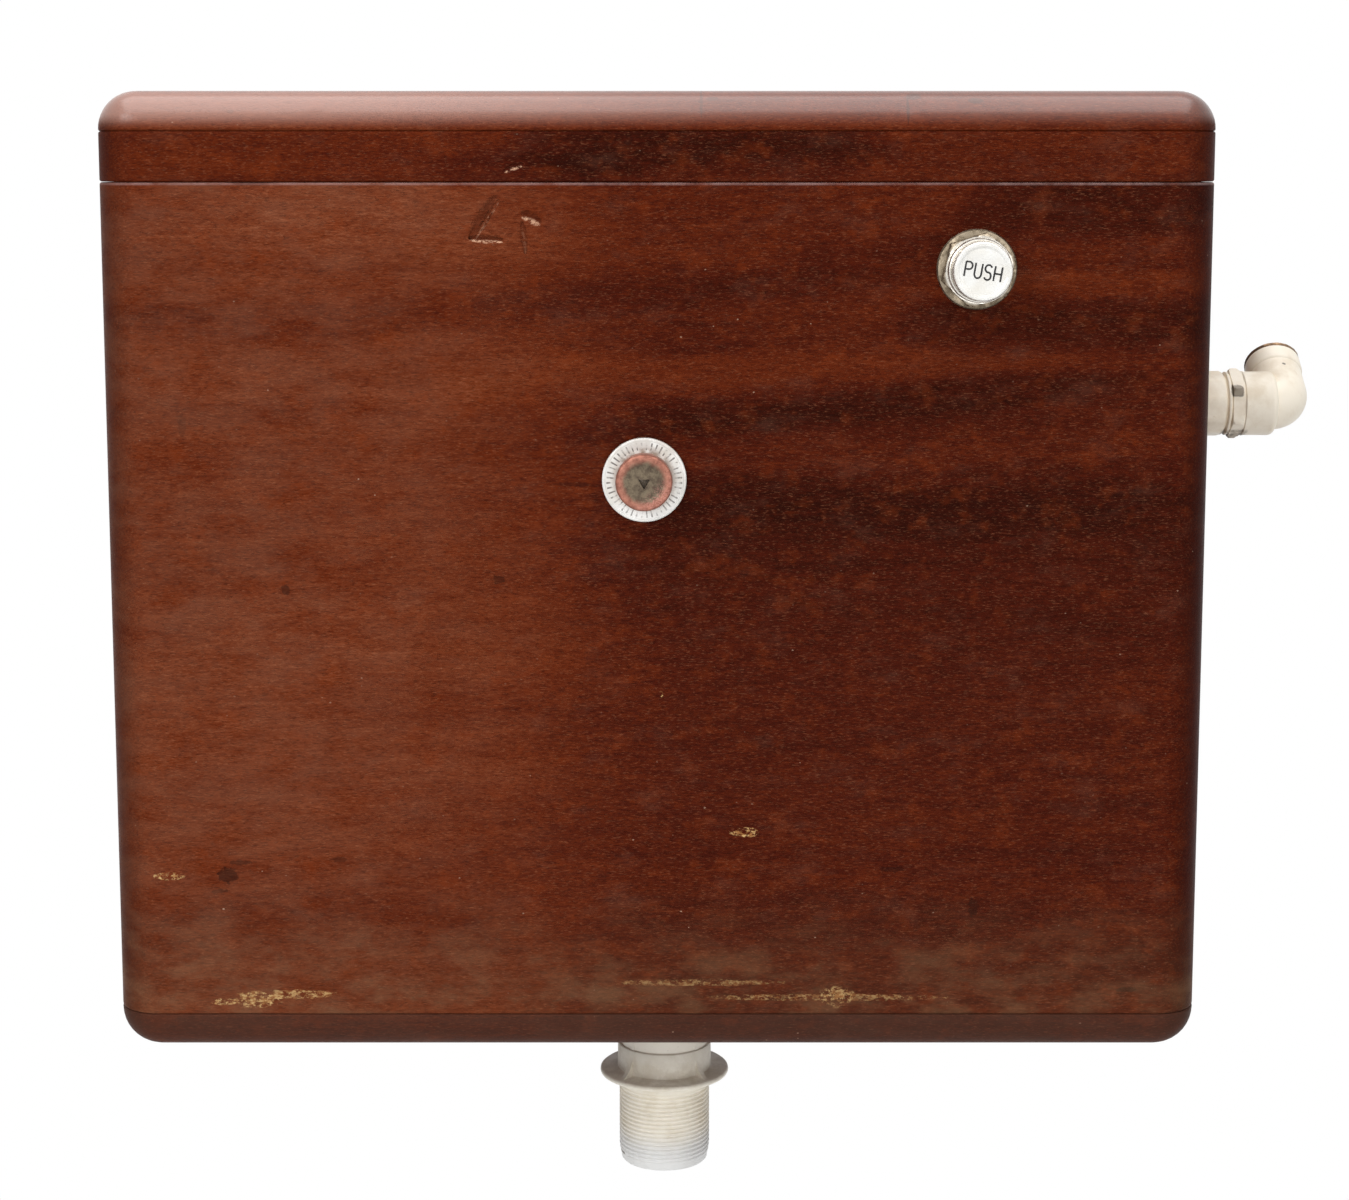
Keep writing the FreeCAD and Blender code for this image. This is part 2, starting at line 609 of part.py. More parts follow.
def make_siphon():
    bore = SIPHON_PIPE_R - SIPHON_PIPE_WALL
    chamber_foot = TANK_FLOOR + CHAMBER_FOOT
    shoulder = CHAMBER_TOP_Z - CHAMBER_SHOULDER
    leg_foot = TAIL_TOP + SOCKET_FIT
    socket_top = SOCKET_FOOT_Z + SOCKET_LENGTH
    outside = siphon_core(SIPHON_PIPE_R, leg_foot)
    outside = outside.fuse(chamber_profile(CHAMBER_R, chamber_foot, shoulder, SIPHON_PIPE_R))
    boss_foot = SIPHON_CROWN_Z + SIPHON_PITCH / 2
    outside = outside.fuse(rod(V(RISER_X, OUTLET_Y, boss_foot), ALONG_Z,
                               ROD_BOSS_TOP - boss_foot, ROD_BOSS_R))
    web = block((RISER_X, OUTLET_X), (OUTLET_Y - SIPHON_WEB / 2, OUTLET_Y + SIPHON_WEB / 2),
                (socket_top + SOCKET_FIT, SIPHON_CROWN_Z))
    outside = outside.fuse(web)

    inside = siphon_core(bore, leg_foot)
    inside = inside.fuse(chamber_profile(CHAMBER_R - CHAMBER_WALL, chamber_foot, shoulder, bore))
    inside = inside.fuse(rod(V(RISER_X, OUTLET_Y, SIPHON_CROWN_Z), ALONG_Z,
                             ROD_BOSS_TOP - SIPHON_CROWN_Z, ROD_R + ROD_FIT))
    siphon = outside.cut(inside)
    for i in range(3):
        foot = block((CHAMBER_R - CHAMBER_WALL, CHAMBER_R + CHAMBER_FOOT_OUT),
                     (-CHAMBER_FOOT_WIDTH / 2, CHAMBER_FOOT_WIDTH / 2),
                     (TANK_FLOOR, chamber_foot + CHAMBER_FOOT_GRIP))
        foot = foot.cut(rod(V(0, 0, chamber_foot), ALONG_Z, CHAMBER_FOOT_GRIP,
                            CHAMBER_R - CHAMBER_WALL / 2))
        foot.rotate(V(0, 0, 0), ALONG_Z, 60 + 120 * i)
        foot.translate(V(RISER_X, OUTLET_Y, 0))
        siphon = siphon.fuse(foot)
    node("siphon_body", siphon)

    socket_foot = V(OUTLET_X, OUTLET_Y, SOCKET_FOOT_Z)
    socket = rod(socket_foot, ALONG_Z, SOCKET_LENGTH, SOCKET_R)
    socket = socket.cut(rod(socket_foot, ALONG_Z, leg_foot - SOCKET_FOOT_Z, TAIL_R + SOCKET_FIT))
    socket = socket.cut(rod(V(OUTLET_X, OUTLET_Y, leg_foot), ALONG_Z, socket_top - leg_foot,
                            SIPHON_PIPE_R + SHAFT_FIT))
    socket = socket.cut(Part.makeTorus(TAIL_R, O_RING_R, V(OUTLET_X, OUTLET_Y, O_RING_Z)))
    node("siphon_socket", socket)


def gusset(azimuth):
    """Thin web with a hollow curved edge between the tail's flange and its pipe."""
    inner = TAIL_R - 1
    outer = TAIL_R + GUSSET_REACH
    top = -TAIL_FLANGE_DROP + GUSSET_HEIGHT
    low = -TAIL_FLANGE_DROP
    sag = V(TAIL_R + GUSSET_REACH * 0.3, 0, low + GUSSET_HEIGHT * 0.36)
    curve = Part.Arc(V(outer, 0, low), sag, V(TAIL_R, 0, top)).toShape()
    edges = [Part.makeLine(V(inner, 0, low), V(outer, 0, low)), curve,
             Part.makeLine(V(TAIL_R, 0, top), V(inner, 0, top)),
             Part.makeLine(V(inner, 0, top), V(inner, 0, low))]
    web = Part.Face(Part.Wire(edges)).extrude(V(0, GUSSET_THICK, 0))
    web.translate(V(0, -GUSSET_THICK / 2, 0))
    web.rotate(V(0, 0, 0), ALONG_Z, azimuth)
    return web


def make_outlet_tail():
    flange_foot = -TAIL_FLANGE_DROP - TAIL_FLANGE_THICK
    end = flange_foot - TAIL_THREAD_LENGTH
    pipe = rod(V(0, 0, flange_foot), ALONG_Z, TAIL_TOP - flange_foot, TAIL_R)
    flange = rod(V(0, 0, flange_foot), ALONG_Z, TAIL_FLANGE_THICK, TAIL_FLANGE_R)
    flange = flange.makeFillet(TAIL_FLANGE_THICK * 0.3, ring_edges(flange, TAIL_FLANGE_R))
    collar = rod(V(0, 0, -TAIL_FLANGE_DROP), ALONG_Z, TAIL_COLLAR_HEIGHT, TAIL_COLLAR_R)
    thread = rod(V(0, 0, end + TAIL_LEAD_IN), ALONG_Z, TAIL_THREAD_LENGTH - TAIL_LEAD_IN,
                 TAIL_THREAD_R)
    lead_in = rod(V(0, 0, end), ALONG_Z, TAIL_LEAD_IN, TAIL_LEAD_IN_R)
    tail = pipe.fuse([flange, collar, thread, lead_in] + [gusset(45 + 90 * i) for i in range(4)])
    tail = tail.cut(rod(V(0, 0, end), ALONG_Z, TAIL_TOP - end, TAIL_BORE))
    ring = Part.makeTorus(TAIL_R, O_RING_R, V(0, 0, O_RING_Z))
    tail = tail.cut(ring)
    for piece in (tail, ring):
        piece.translate(V(OUTLET_X, OUTLET_Y, 0))
    node("outlet_tail", tail)
    node("tail_o_ring", ring)


def make_lift_train():
    """Siphon rod, piston and the flat link that both levers raise."""
    foot = PISTON_REST_Z
    piston = rod(V(0, 0, foot), ALONG_Z, PISTON_THICK,
                 CHAMBER_R - CHAMBER_WALL - PISTON_FIT)
    for i in range(6):
        port = rod(V(PISTON_PORT_PITCH, 0, foot), ALONG_Z, PISTON_THICK, PISTON_PORT_R)
        port.rotate(V(0, 0, 0), ALONG_Z, 60 * i)
        piston = piston.cut(port)
    hub_foot = V(0, 0, foot - PISTON_HUB_LENGTH)
    piston = piston.fuse(rod(hub_foot, ALONG_Z, PISTON_HUB_LENGTH, PISTON_HUB_R))
    piston = piston.cut(rod(hub_foot, ALONG_Z, PISTON_HUB_LENGTH + PISTON_THICK, ROD_R))
    diaphragm = tube(V(0, 0, foot + PISTON_THICK), ALONG_Z, DIAPHRAGM_THICK,
                     CHAMBER_R - CHAMBER_WALL - 3 * PISTON_FIT, ROD_R)
    bush_foot = ROD_BOSS_TOP + LINK_BUSH_GAP
    stem = rod(hub_foot, ALONG_Z, bush_foot + LINK_BUSH_LENGTH - hub_foot.z, ROD_R)
    for piece in (piston, diaphragm, stem):
        piece.translate(V(RISER_X, OUTLET_Y, 0))
    node("siphon_piston", piston)
    node("siphon_diaphragm", diaphragm)
    node("siphon_rod", stem)

    half = LINK_WIDTH / 2
    yoke_foot = LINK_PIN_Z - CLEVIS_DROP
    strap = block((-half, half), (-LINK_THICK / 2, LINK_THICK / 2),
                  (bush_foot + LINK_BUSH_LENGTH / 2, yoke_foot))
    bush = rod(V(0, 0, bush_foot), ALONG_Z, LINK_BUSH_LENGTH, LINK_BUSH_R)
    yoke = block((-half, half), (-CLEVIS_DEPTH / 2, CLEVIS_DEPTH / 2),
                 (yoke_foot, LINK_PIN_Z + CLEVIS_RISE))
    yoke = yoke.cut(block((-CLEVIS_GAP / 2, CLEVIS_GAP / 2), (-CLEVIS_DEPTH, CLEVIS_DEPTH),
                          (yoke_foot + 4, LINK_PIN_Z + CLEVIS_RISE + 1)))
    low_y = ROCK_SHAFT_Y + LIFT_ARM * math.cos(math.radians(SWING)) - OUTLET_Y
    high_y = ROCK_SHAFT_Y + LIFT_ARM - OUTLET_Y
    yoke = yoke.cut(slot_along(ALONG_Y, (low_y, high_y), V(-half, 0, LINK_PIN_Z),
                               ALONG_X, LINK_WIDTH, PIN_FIT))
    pin_x, pin_z = crank_pin_at_rest()
    lug_left = SPINDLE_X - CRANK_RADIUS - RISER_X
    lug_right = SPINDLE_X - CRANK_RADIUS * math.cos(math.radians(CRANK_FULL)) - RISER_X
    lug = block((lug_left - half, lug_right + half), (-LINK_THICK / 2, LINK_THICK / 2),
                (pin_z - LUG_HEIGHT / 2, pin_z + LUG_HEIGHT / 2))
    link = strap.fuse([bush, yoke, lug])
    link = link.cut(slot_along(ALONG_X, (lug_left, lug_right), V(0, -LINK_THICK, pin_z),
                               ALONG_Y, 2 * LINK_THICK, CRANK_PIN_FIT))
    link = link.cut(rod(V(0, 0, bush_foot), ALONG_Z, LINK_BUSH_LENGTH, ROD_R))
    link.translate(V(RISER_X, OUTLET_Y, 0))
    node("lift_link", link)


def slot_along(direction, span, start, through, length, fit):
    """Round-ended slot for a link pin whose middle runs over a span."""
    radius = LINK_PIN_R + fit
    ends = [rod(start + direction * s, through, length, radius) for s in span]
    across = direction.cross(through)
    corner = start + direction * span[0] - across * radius
    middle = Part.makePolygon([corner, corner + direction * (span[1] - span[0]),
                               corner + direction * (span[1] - span[0]) + across * 2 * radius,
                               corner + across * 2 * radius, corner])
    return ends[0].fuse([ends[1], Part.Face(middle).extrude(through * length)])


# ---- rocking linkage ------------------------------------------------------------------
def make_rock_shaft():
    left = RISER_X - LEVER_HUB_LENGTH / 2 - 2
    right = BUTTON_X + LEVER_HUB_LENGTH / 2 + 2
    axis = V(0, ROCK_SHAFT_Y, ROCK_SHAFT_Z)
    shaft = rod(V(left, ROCK_SHAFT_Y, ROCK_SHAFT_Z), ALONG_X, right - left, ROCK_SHAFT_R)
    node("rock_shaft", shaft)

    collars = []
    for x in bracket_places():
        outer = 1 if x > 0 else -1
        start = x - outer * (BRACKET_WIDTH / 2 + 0.3)
        if outer > 0:
            start -= COLLAR_LENGTH
        collars.append(tube(V(start, ROCK_SHAFT_Y, ROCK_SHAFT_Z), ALONG_X, COLLAR_LENGTH,
                            COLLAR_R, ROCK_SHAFT_R))
    node("shaft_collars", *collars)

    hub_start = V(BUTTON_X - LEVER_HUB_LENGTH / 2, ROCK_SHAFT_Y, ROCK_SHAFT_Z)
    hub = rod(hub_start, ALONG_X, LEVER_HUB_LENGTH, LEVER_HUB_R)
    arm = block((BUTTON_X - LEVER_HUB_LENGTH / 2, BUTTON_X + LEVER_HUB_LENGTH / 2),
                (ROCK_SHAFT_Y - LEVER_THICK / 2, ROCK_SHAFT_Y + LEVER_THICK / 2),
                (BUTTON_Z - PUSH_PAD_DROP, ROCK_SHAFT_Z))
    push = hub.fuse(arm).cut(rod(hub_start, ALONG_X, LEVER_HUB_LENGTH, ROCK_SHAFT_R))
    push.rotate(axis, ALONG_X, -SWING)
    node("button_lever", push)

    hub_start = V(RISER_X - LEVER_HUB_LENGTH / 2, ROCK_SHAFT_Y, ROCK_SHAFT_Z)
    hub = rod(hub_start, ALONG_X, LEVER_HUB_LENGTH, LEVER_HUB_R)
    half = LEVER_THICK / 2
    end_r = LINK_PIN_R + 3
    end = V(RISER_X - half, ROCK_SHAFT_Y + LIFT_ARM, ROCK_SHAFT_Z)
    bar = Part.makePolygon([V(RISER_X - half, ROCK_SHAFT_Y, ROCK_SHAFT_Z + LEVER_HUB_R - 1),
                            V(RISER_X - half, end.y, ROCK_SHAFT_Z + end_r),
                            V(RISER_X - half, end.y, ROCK_SHAFT_Z - end_r),
                            V(RISER_X - half, ROCK_SHAFT_Y, ROCK_SHAFT_Z - LEVER_HUB_R + 1),
                            V(RISER_X - half, ROCK_SHAFT_Y, ROCK_SHAFT_Z + LEVER_HUB_R - 1)])
    bar = Part.Face(bar).extrude(V(LEVER_THICK, 0, 0))
    eye = rod(end, ALONG_X, LEVER_THICK, end_r)
    pin = rod(V(RISER_X - LINK_WIDTH / 2 - 1.5, end.y, end.z), ALONG_X, LINK_WIDTH + 3, LINK_PIN_R)
    lift = hub.fuse([bar, eye, pin])
    lift = lift.cut(rod(hub_start, ALONG_X, LEVER_HUB_LENGTH, ROCK_SHAFT_R))
    lift.rotate(axis, ALONG_X, -SWING)
    node("lift_lever", lift)


def bracket_screw(head, grow):
    """Round-headed screw that holds a bracket to the front panel."""
    shank = rod(head + ALONG_Y, -ALONG_Y, BRACKET_FOOT + FRONT_THICK * 0.6 + grow,
                WOOD_SCREW_R + grow)
    return shank


def make_brackets():
    brackets = []
    for x in bracket_places():
        near = x - BRACKET_WIDTH / 2
        foot = block((near, near + BRACKET_WIDTH), (FRONT_INSIDE, FRONT_INSIDE + BRACKET_FOOT),
                     (ROCK_SHAFT_Z - BRACKET_HEIGHT / 2, ROCK_SHAFT_Z + BRACKET_HEIGHT / 2))
        web = block((near, near + BRACKET_WIDTH), (FRONT_INSIDE, ROCK_SHAFT_Y),
                    (ROCK_SHAFT_Z - BRACKET_BOSS_R / 2, ROCK_SHAFT_Z + BRACKET_BOSS_R / 2))
        start = V(near, ROCK_SHAFT_Y, ROCK_SHAFT_Z)
        boss = rod(start, ALONG_X, BRACKET_WIDTH, BRACKET_BOSS_R)
        bracket = foot.fuse([web, boss])
        bracket = bracket.cut(rod(start, ALONG_X, BRACKET_WIDTH, ROCK_SHAFT_R + SHAFT_FIT))
        brackets.append(bracket)
    screws = []
    for head in bracket_screw_heads():
        brackets = [b.cut(bracket_screw(head, SCREW_FIT)) for b in brackets]
        cap = rod(head, ALONG_Y, 1.8, WOOD_SCREW_HEAD_R)
        screws.append(bracket_screw(head, 0).fuse(cap))
    node("shaft_brackets", *brackets)
    node("bracket_screws", *screws)


# ---- push button ----------------------------------------------------------------------
def make_button():
    centre = V(BUTTON_X, FRONT_Y, BUTTON_Z)
    hex_face = FRONT_Y - BUTTON_FLANGE_THICK - BUTTON_HEX_THICK
    collar_face = hex_face - BUTTON_COLLAR_LENGTH
    cup_face = collar_face - BUTTON_CUP_PROUD
    cup_back = cup_face + BUTTON_CUP_LENGTH
    pocket_floor = cup_back + BUTTON_STROKE + 0.5
    barrel_end = FRONT_INSIDE + BUTTON_BARREL_END
    guide_start = barrel_end - BUTTON_GUIDE_LENGTH

    flange = rod(centre, -ALONG_Y, BUTTON_FLANGE_THICK, BUTTON_FLANGE_R)
    front_edge = [e for e in ring_edges(flange, BUTTON_FLANGE_R)
                  if e.BoundBox.YMax < FRONT_Y - 1]
    flange = flange.makeFillet(BUTTON_FLANGE_THICK * 0.5, front_edge)
    hex_nut = hexagon(V(BUTTON_X, FRONT_Y - BUTTON_FLANGE_THICK, BUTTON_Z), -ALONG_Y,
                      BUTTON_HEX_THICK, BUTTON_HEX_FLATS, BUTTON_HEX_TURN)
    collar = rod(V(BUTTON_X, hex_face, BUTTON_Z), -ALONG_Y, BUTTON_COLLAR_LENGTH,
                 BUTTON_COLLAR_R)
    barrel = rod(centre, ALONG_Y, barrel_end - FRONT_Y, BUTTON_BARREL_R)
    bush = barrel.fuse([flange, hex_nut, collar])
    bush = bush.cut(rod(V(BUTTON_X, collar_face, BUTTON_Z), ALONG_Y, pocket_floor - collar_face,
                        BUTTON_CUP_R + BUTTON_CUP_FIT))
    bush = bush.cut(rod(V(BUTTON_X, pocket_floor, BUTTON_Z), ALONG_Y,
                        guide_start - pocket_floor, SPRING_POCKET_R))
    bush = bush.cut(rod(V(BUTTON_X, guide_start, BUTTON_Z), ALONG_Y, BUTTON_GUIDE_LENGTH,
                        BUTTON_STEM_R + SHAFT_FIT))
    node("button_bush", bush)

    nut_start = V(BUTTON_X, FRONT_INSIDE, BUTTON_Z)
    nut = hexagon(nut_start, ALONG_Y, BACKNUT_THICK, BACKNUT_FLATS)
    node("button_backnut", nut.cut(rod(nut_start, ALONG_Y, BACKNUT_THICK, BUTTON_BARREL_R)))

    tip_y = lever_face_y()
    cup = rod(V(BUTTON_X, cup_face, BUTTON_Z), ALONG_Y, BUTTON_CUP_LENGTH, BUTTON_CUP_R)
    rim = [e for e in ring_edges(cup, BUTTON_CUP_R) if e.BoundBox.YMax < cup_face + 1]
    cup = cup.makeFillet(0.6, rim)
    cup = cup.cut(rod(V(BUTTON_X, cup_face, BUTTON_Z), ALONG_Y, BUTTON_CHINA_DEEP,
                      BUTTON_CHINA_R))
    stem = rod(V(BUTTON_X, cup_back, BUTTON_Z), ALONG_Y, tip_y - cup_back, BUTTON_STEM_R)
    node("button_cup", cup.fuse(stem))

    dome = Part.makeSphere(BUTTON_CHINA_R * 3)
    dome.translate(V(BUTTON_X, cup_face - BUTTON_CHINA_R * 3 + 0.6, BUTTON_Z))
    china = rod(V(BUTTON_X, cup_face - BUTTON_CHINA_PROUD, BUTTON_Z), ALONG_Y,
                BUTTON_CHINA_DEEP + BUTTON_CHINA_PROUD, BUTTON_CHINA_R)
    node("button_china", china.cut(dome))

    nut_start = V(BUTTON_X, barrel_end + 0.3, BUTTON_Z)
    tail_nut = tube(nut_start, ALONG_Y, TAIL_NUT_THICK, TAIL_NUT_R, BUTTON_STEM_R)
    node("button_tail_nut", tail_nut)

    node("button_spring", coil_spring(cup_back, guide_start))


def coil_spring(start_y, end_y):
    """Round-wire spring between two faces: half rings, tilted so that each meets the next."""
    rise = (end_y - start_y - 2 * SPRING_WIRE_R - 2 * SPRING_END_GAP) / (2 * SPRING_TURNS)
    ring = math.hypot(SPRING_COIL_R, rise / 2)
    tilt = math.degrees(math.asin(rise / 2 / ring))
    halves = []
    for i in range(2 * SPRING_TURNS):
        half = Part.makeTorus(ring, SPRING_WIRE_R, V(0, 0, 0), ALONG_Z, 0, 360, 180)
        half.rotate(V(0, 0, 0), ALONG_Y, tilt)
        half.rotate(V(0, 0, 0), ALONG_Z, 180 * (i % 2))
        half.translate(V(0, 0, rise * (i + 0.5)))
        halves.append(half)
    spring = halves[0].fuse(halves[1:])
    spring.Placement = FreeCAD.Placement(
        V(BUTTON_X, start_y + SPRING_WIRE_R + SPRING_END_GAP, BUTTON_Z),
        FreeCAD.Rotation(ALONG_Z, ALONG_Y))
    return spring


def lever_face_y():
    """Front face of the push arm at the button's height, less the play before it moves."""
    swing = math.radians(SWING)
    return ROCK_SHAFT_Y - PUSH_ARM * math.tan(swing) - LEVER_THICK / 2 / math.cos(swing) - 1.2


# ---- lever spindle --------------------------------------------------------------------
def crank_pin_at_rest():
    angle = math.radians(CRANK_REST)
    return (SPINDLE_X - CRANK_RADIUS * math.cos(angle), SPINDLE_Z - CRANK_RADIUS * math.sin(angle))


def make_spindle():
    front = V(SPINDLE_X, FRONT_Y, SPINDLE_Z)
    ring_face = FRONT_Y - SPINDLE_RING_THICK
    ring = tube(V(SPINDLE_X, ring_face, SPINDLE_Z), ALONG_Y, SPINDLE_RING_THICK,
                SPINDLE_RING_R, SPINDLE_BUSH_R)
    rim = [e for e in ring_edges(ring, SPINDLE_RING_R) if e.BoundBox.YMax < FRONT_Y - 1]
    node("spindle_ring", ring.makeFillet(SPINDLE_RING_THICK * 0.5, rim))

    bush_end = FRONT_INSIDE + SPINDLE_BUSH_END
    bush = tube(V(SPINDLE_X, ring_face, SPINDLE_Z), ALONG_Y, bush_end - ring_face,
                SPINDLE_BUSH_R, SPINDLE_R + SHAFT_FIT)
    node("spindle_bush", bush)
    nut_start = V(SPINDLE_X, FRONT_INSIDE, SPINDLE_Z)
    nut = hexagon(nut_start, ALONG_Y, BACKNUT_THICK, SPINDLE_NUT_FLATS)
    node("spindle_backnut", nut.cut(rod(nut_start, ALONG_Y, BACKNUT_THICK, SPINDLE_BUSH_R)))

    boss_back = ring_face - 0.3
    boss_face = boss_back - SPINDLE_BOSS_LENGTH
    boss = rod(V(SPINDLE_X, boss_face, SPINDLE_Z), ALONG_Y, SPINDLE_BOSS_LENGTH, SPINDLE_BOSS_R)
    rim = [e for e in ring_edges(boss, SPINDLE_BOSS_R) if e.BoundBox.YMax < boss_face + 1]
    boss = boss.makeFillet(1.2, rim)
    boss = boss.cut(rod(V(SPINDLE_X, boss_face, SPINDLE_Z), ALONG_Y, SPINDLE_DISH_DEEP,
                        SPINDLE_DISH_R))
    boss = boss.cut(prism(V(SPINDLE_X, boss_face, SPINDLE_Z), ALONG_Y,
                          SPINDLE_DISH_DEEP + SPINDLE_SOCKET_DEEP,
                          SPINDLE_SOCKET_SIDE / math.sqrt(3), 3, 90))
    shaft_start = boss_face + SPINDLE_DISH_DEEP + SPINDLE_SOCKET_DEEP + 1
    link_front = OUTLET_Y - LINK_THICK / 2
    crank_back = link_front - CRANK_TO_LINK
    shaft_end = crank_back + 1
    boss = boss.cut(rod(V(SPINDLE_X, shaft_start, SPINDLE_Z), ALONG_Y,
                        boss_back - shaft_start, SPINDLE_R))
    node("spindle_boss", boss)
    shaft = rod(V(SPINDLE_X, shaft_start, SPINDLE_Z), ALONG_Y, shaft_end - shaft_start,
                SPINDLE_R)
    node("spindle_shaft", shaft)

    hub_r = SPINDLE_R + 4
    start = V(SPINDLE_X, crank_back - CRANK_THICK, SPINDLE_Z)
    hub = rod(start - ALONG_Y * 4, ALONG_Y, CRANK_THICK + 4, hub_r)
    tip = start - ALONG_X * CRANK_RADIUS
    bar = Part.makePolygon([start + ALONG_Z * (hub_r - 1), tip + ALONG_Z * CRANK_END_R,
                            tip - ALONG_Z * CRANK_END_R, start - ALONG_Z * (hub_r - 1),
                            start + ALONG_Z * (hub_r - 1)])
    bar = Part.Face(bar).extrude(V(0, CRANK_THICK, 0))
    eye = rod(tip, ALONG_Y, CRANK_THICK, CRANK_END_R)
    pin = rod(tip, ALONG_Y, CRANK_THICK + CRANK_TO_LINK + LINK_THICK + 1.5, LINK_PIN_R)
    crank = hub.fuse([bar, eye, pin])
    crank = crank.cut(rod(start - ALONG_Y * 4, ALONG_Y, CRANK_THICK + 4, SPINDLE_R))
    crank.rotate(front, ALONG_Y, -CRANK_REST)
    node("spindle_crank", crank)


# ---- float valve ----------------------------------------------------------------------
def make_valve():
    start_x = SIDE_INSIDE - VALVE_INNER_END
    end_x = HALF_WIDTH + VALVE_OUTER_END
    axis = V(start_x, INLET_Y, INLET_Z)
    seat_x = (start_x + VALVE_PISTON_SETBACK + VALVE_PISTON_LENGTH + PISTON_TRAVEL
              + VALVE_SEAT_GAP)
    spout_x = seat_x - VALVE_SPOUT_R
    bore = VALVE_PISTON_R + VALVE_PISTON_FIT
    half_gap = LUG_GAP / 2
    body = rod(axis, ALONG_X, end_x - start_x, VALVE_R)
    lug_z = (FULCRUM_Z - FLOAT_HUB_R, INLET_Z)
    for y in (INLET_Y - half_gap - LUG_THICK, INLET_Y + half_gap):
        body = body.fuse(block((FULCRUM_X - FLOAT_HUB_R, FULCRUM_X + FLOAT_HUB_R),
                               (y, y + LUG_THICK), lug_z))
    spout_top = V(spout_x, INLET_Y, INLET_Z)
    body = body.fuse(rod(spout_top, -ALONG_Z, VALVE_R + VALVE_SPOUT_DROP, VALVE_SPOUT_R))
    body = body.cut(rod(axis, ALONG_X, seat_x + VALVE_SEAT_THICK - start_x, bore))
    body = body.cut(rod(axis, ALONG_X, end_x - start_x, VALVE_INLET_BORE))
    body = body.cut(rod(spout_top, -ALONG_Z, VALVE_R + VALVE_SPOUT_DROP, VALVE_SPOUT_BORE))
    body = body.cut(block((FULCRUM_X - FLOAT_HUB_R - 3, FULCRUM_X + FLOAT_HUB_R + 3),
                          (INLET_Y - half_gap, INLET_Y + half_gap),
                          (FULCRUM_Z - FLOAT_HUB_R - 1, INLET_Z)))
    pin_start = V(FULCRUM_X, INLET_Y - half_gap - LUG_THICK - 2, FULCRUM_Z)
    pin_length = LUG_GAP + 2 * LUG_THICK + 4
    body = body.cut(rod(pin_start, ALONG_Y, pin_length, FULCRUM_PIN_R))
    node("valve_body", body)
    node("fulcrum_pin", rod(pin_start, ALONG_Y, pin_length, FULCRUM_PIN_R))
    node("valve_seat", tube(V(seat_x, INLET_Y, INLET_Z), ALONG_X, VALVE_SEAT_THICK, bore,
                            VALVE_SEAT_HOLE))

    cap_start = V(start_x - VALVE_PISTON_SETBACK / 2, INLET_Y, INLET_Z)
    cap = rod(cap_start, ALONG_X, VALVE_CAP_LENGTH, VALVE_CAP_R)
    for i in range(12):
        flute = rod(V(cap_start.x, INLET_Y, INLET_Z + VALVE_CAP_R + 0.6), ALONG_X,
                    VALVE_CAP_LENGTH, 1.6)
        flute.rotate(cap_start, ALONG_X, 30 * i)
        cap = cap.cut(flute)
    cap = cap.cut(rod(axis, ALONG_X, VALVE_CAP_LENGTH, VALVE_R))
    node("valve_end_cap", cap)

    nut_corner = VALVE_NUT_FLATS / math.sqrt(3)
    inner_washer_x = SIDE_INSIDE - WASHER_THICK
    washers = [tube(V(x, INLET_Y, INLET_Z), ALONG_X, WASHER_THICK, WASHER_R, VALVE_R)
               for x in (inner_washer_x, HALF_WIDTH)]
    node("valve_washers", *washers)
    nut_start = V(inner_washer_x - VALVE_NUT_THICK, INLET_Y, INLET_Z)
    inner_nut = prism(nut_start, ALONG_X, VALVE_NUT_THICK, nut_corner, 6)
    inner_nut = inner_nut.cut(rod(nut_start, ALONG_X, VALVE_NUT_THICK, VALVE_R))
    node("valve_backnut", inner_nut)
    collar_x = HALF_WIDTH + WASHER_THICK
    collar_start = V(collar_x, INLET_Y, INLET_Z)
    collar = prism(collar_start, ALONG_X, OUTER_COLLAR_LENGTH, OUTER_COLLAR_R,
                   OUTER_COLLAR_SIDES)
    collar = collar.cut(rod(collar_start, ALONG_X, OUTER_COLLAR_LENGTH, VALVE_R))
    node("valve_outer_collar", collar)

    piston_x = start_x + VALVE_PISTON_SETBACK
    piston = rod(V(piston_x, INLET_Y, INLET_Z), ALONG_X, VALVE_PISTON_LENGTH, VALVE_PISTON_R)
    edge = 1.0
    piston = piston.makeChamfer(edge, ring_edges(piston, VALVE_PISTON_R))
    finger_x = FULCRUM_X - PISTON_TRAVEL / 2
    half_slot = LINK_PIN_R + 2 * PIN_FIT
    flare = half_slot + VALVE_R * math.tan(math.radians(FLOAT_SWING / 2))
    top_z = INLET_Z + LINK_PIN_R + 1
    slot = Part.makePolygon([V(finger_x - half_slot, INLET_Y - VALVE_R, top_z),
                             V(finger_x + half_slot, INLET_Y - VALVE_R, top_z),
                             V(finger_x + half_slot, INLET_Y - VALVE_R, INLET_Z),
                             V(finger_x + flare, INLET_Y - VALVE_R, INLET_Z - VALVE_R),
                             V(finger_x - flare, INLET_Y - VALVE_R, INLET_Z - VALVE_R),
                             V(finger_x - half_slot, INLET_Y - VALVE_R, INLET_Z),
                             V(finger_x - half_slot, INLET_Y - VALVE_R, top_z)])
    piston = piston.cut(Part.Face(slot).extrude(V(0, 2 * VALVE_R, 0)))
    node("valve_piston", piston)


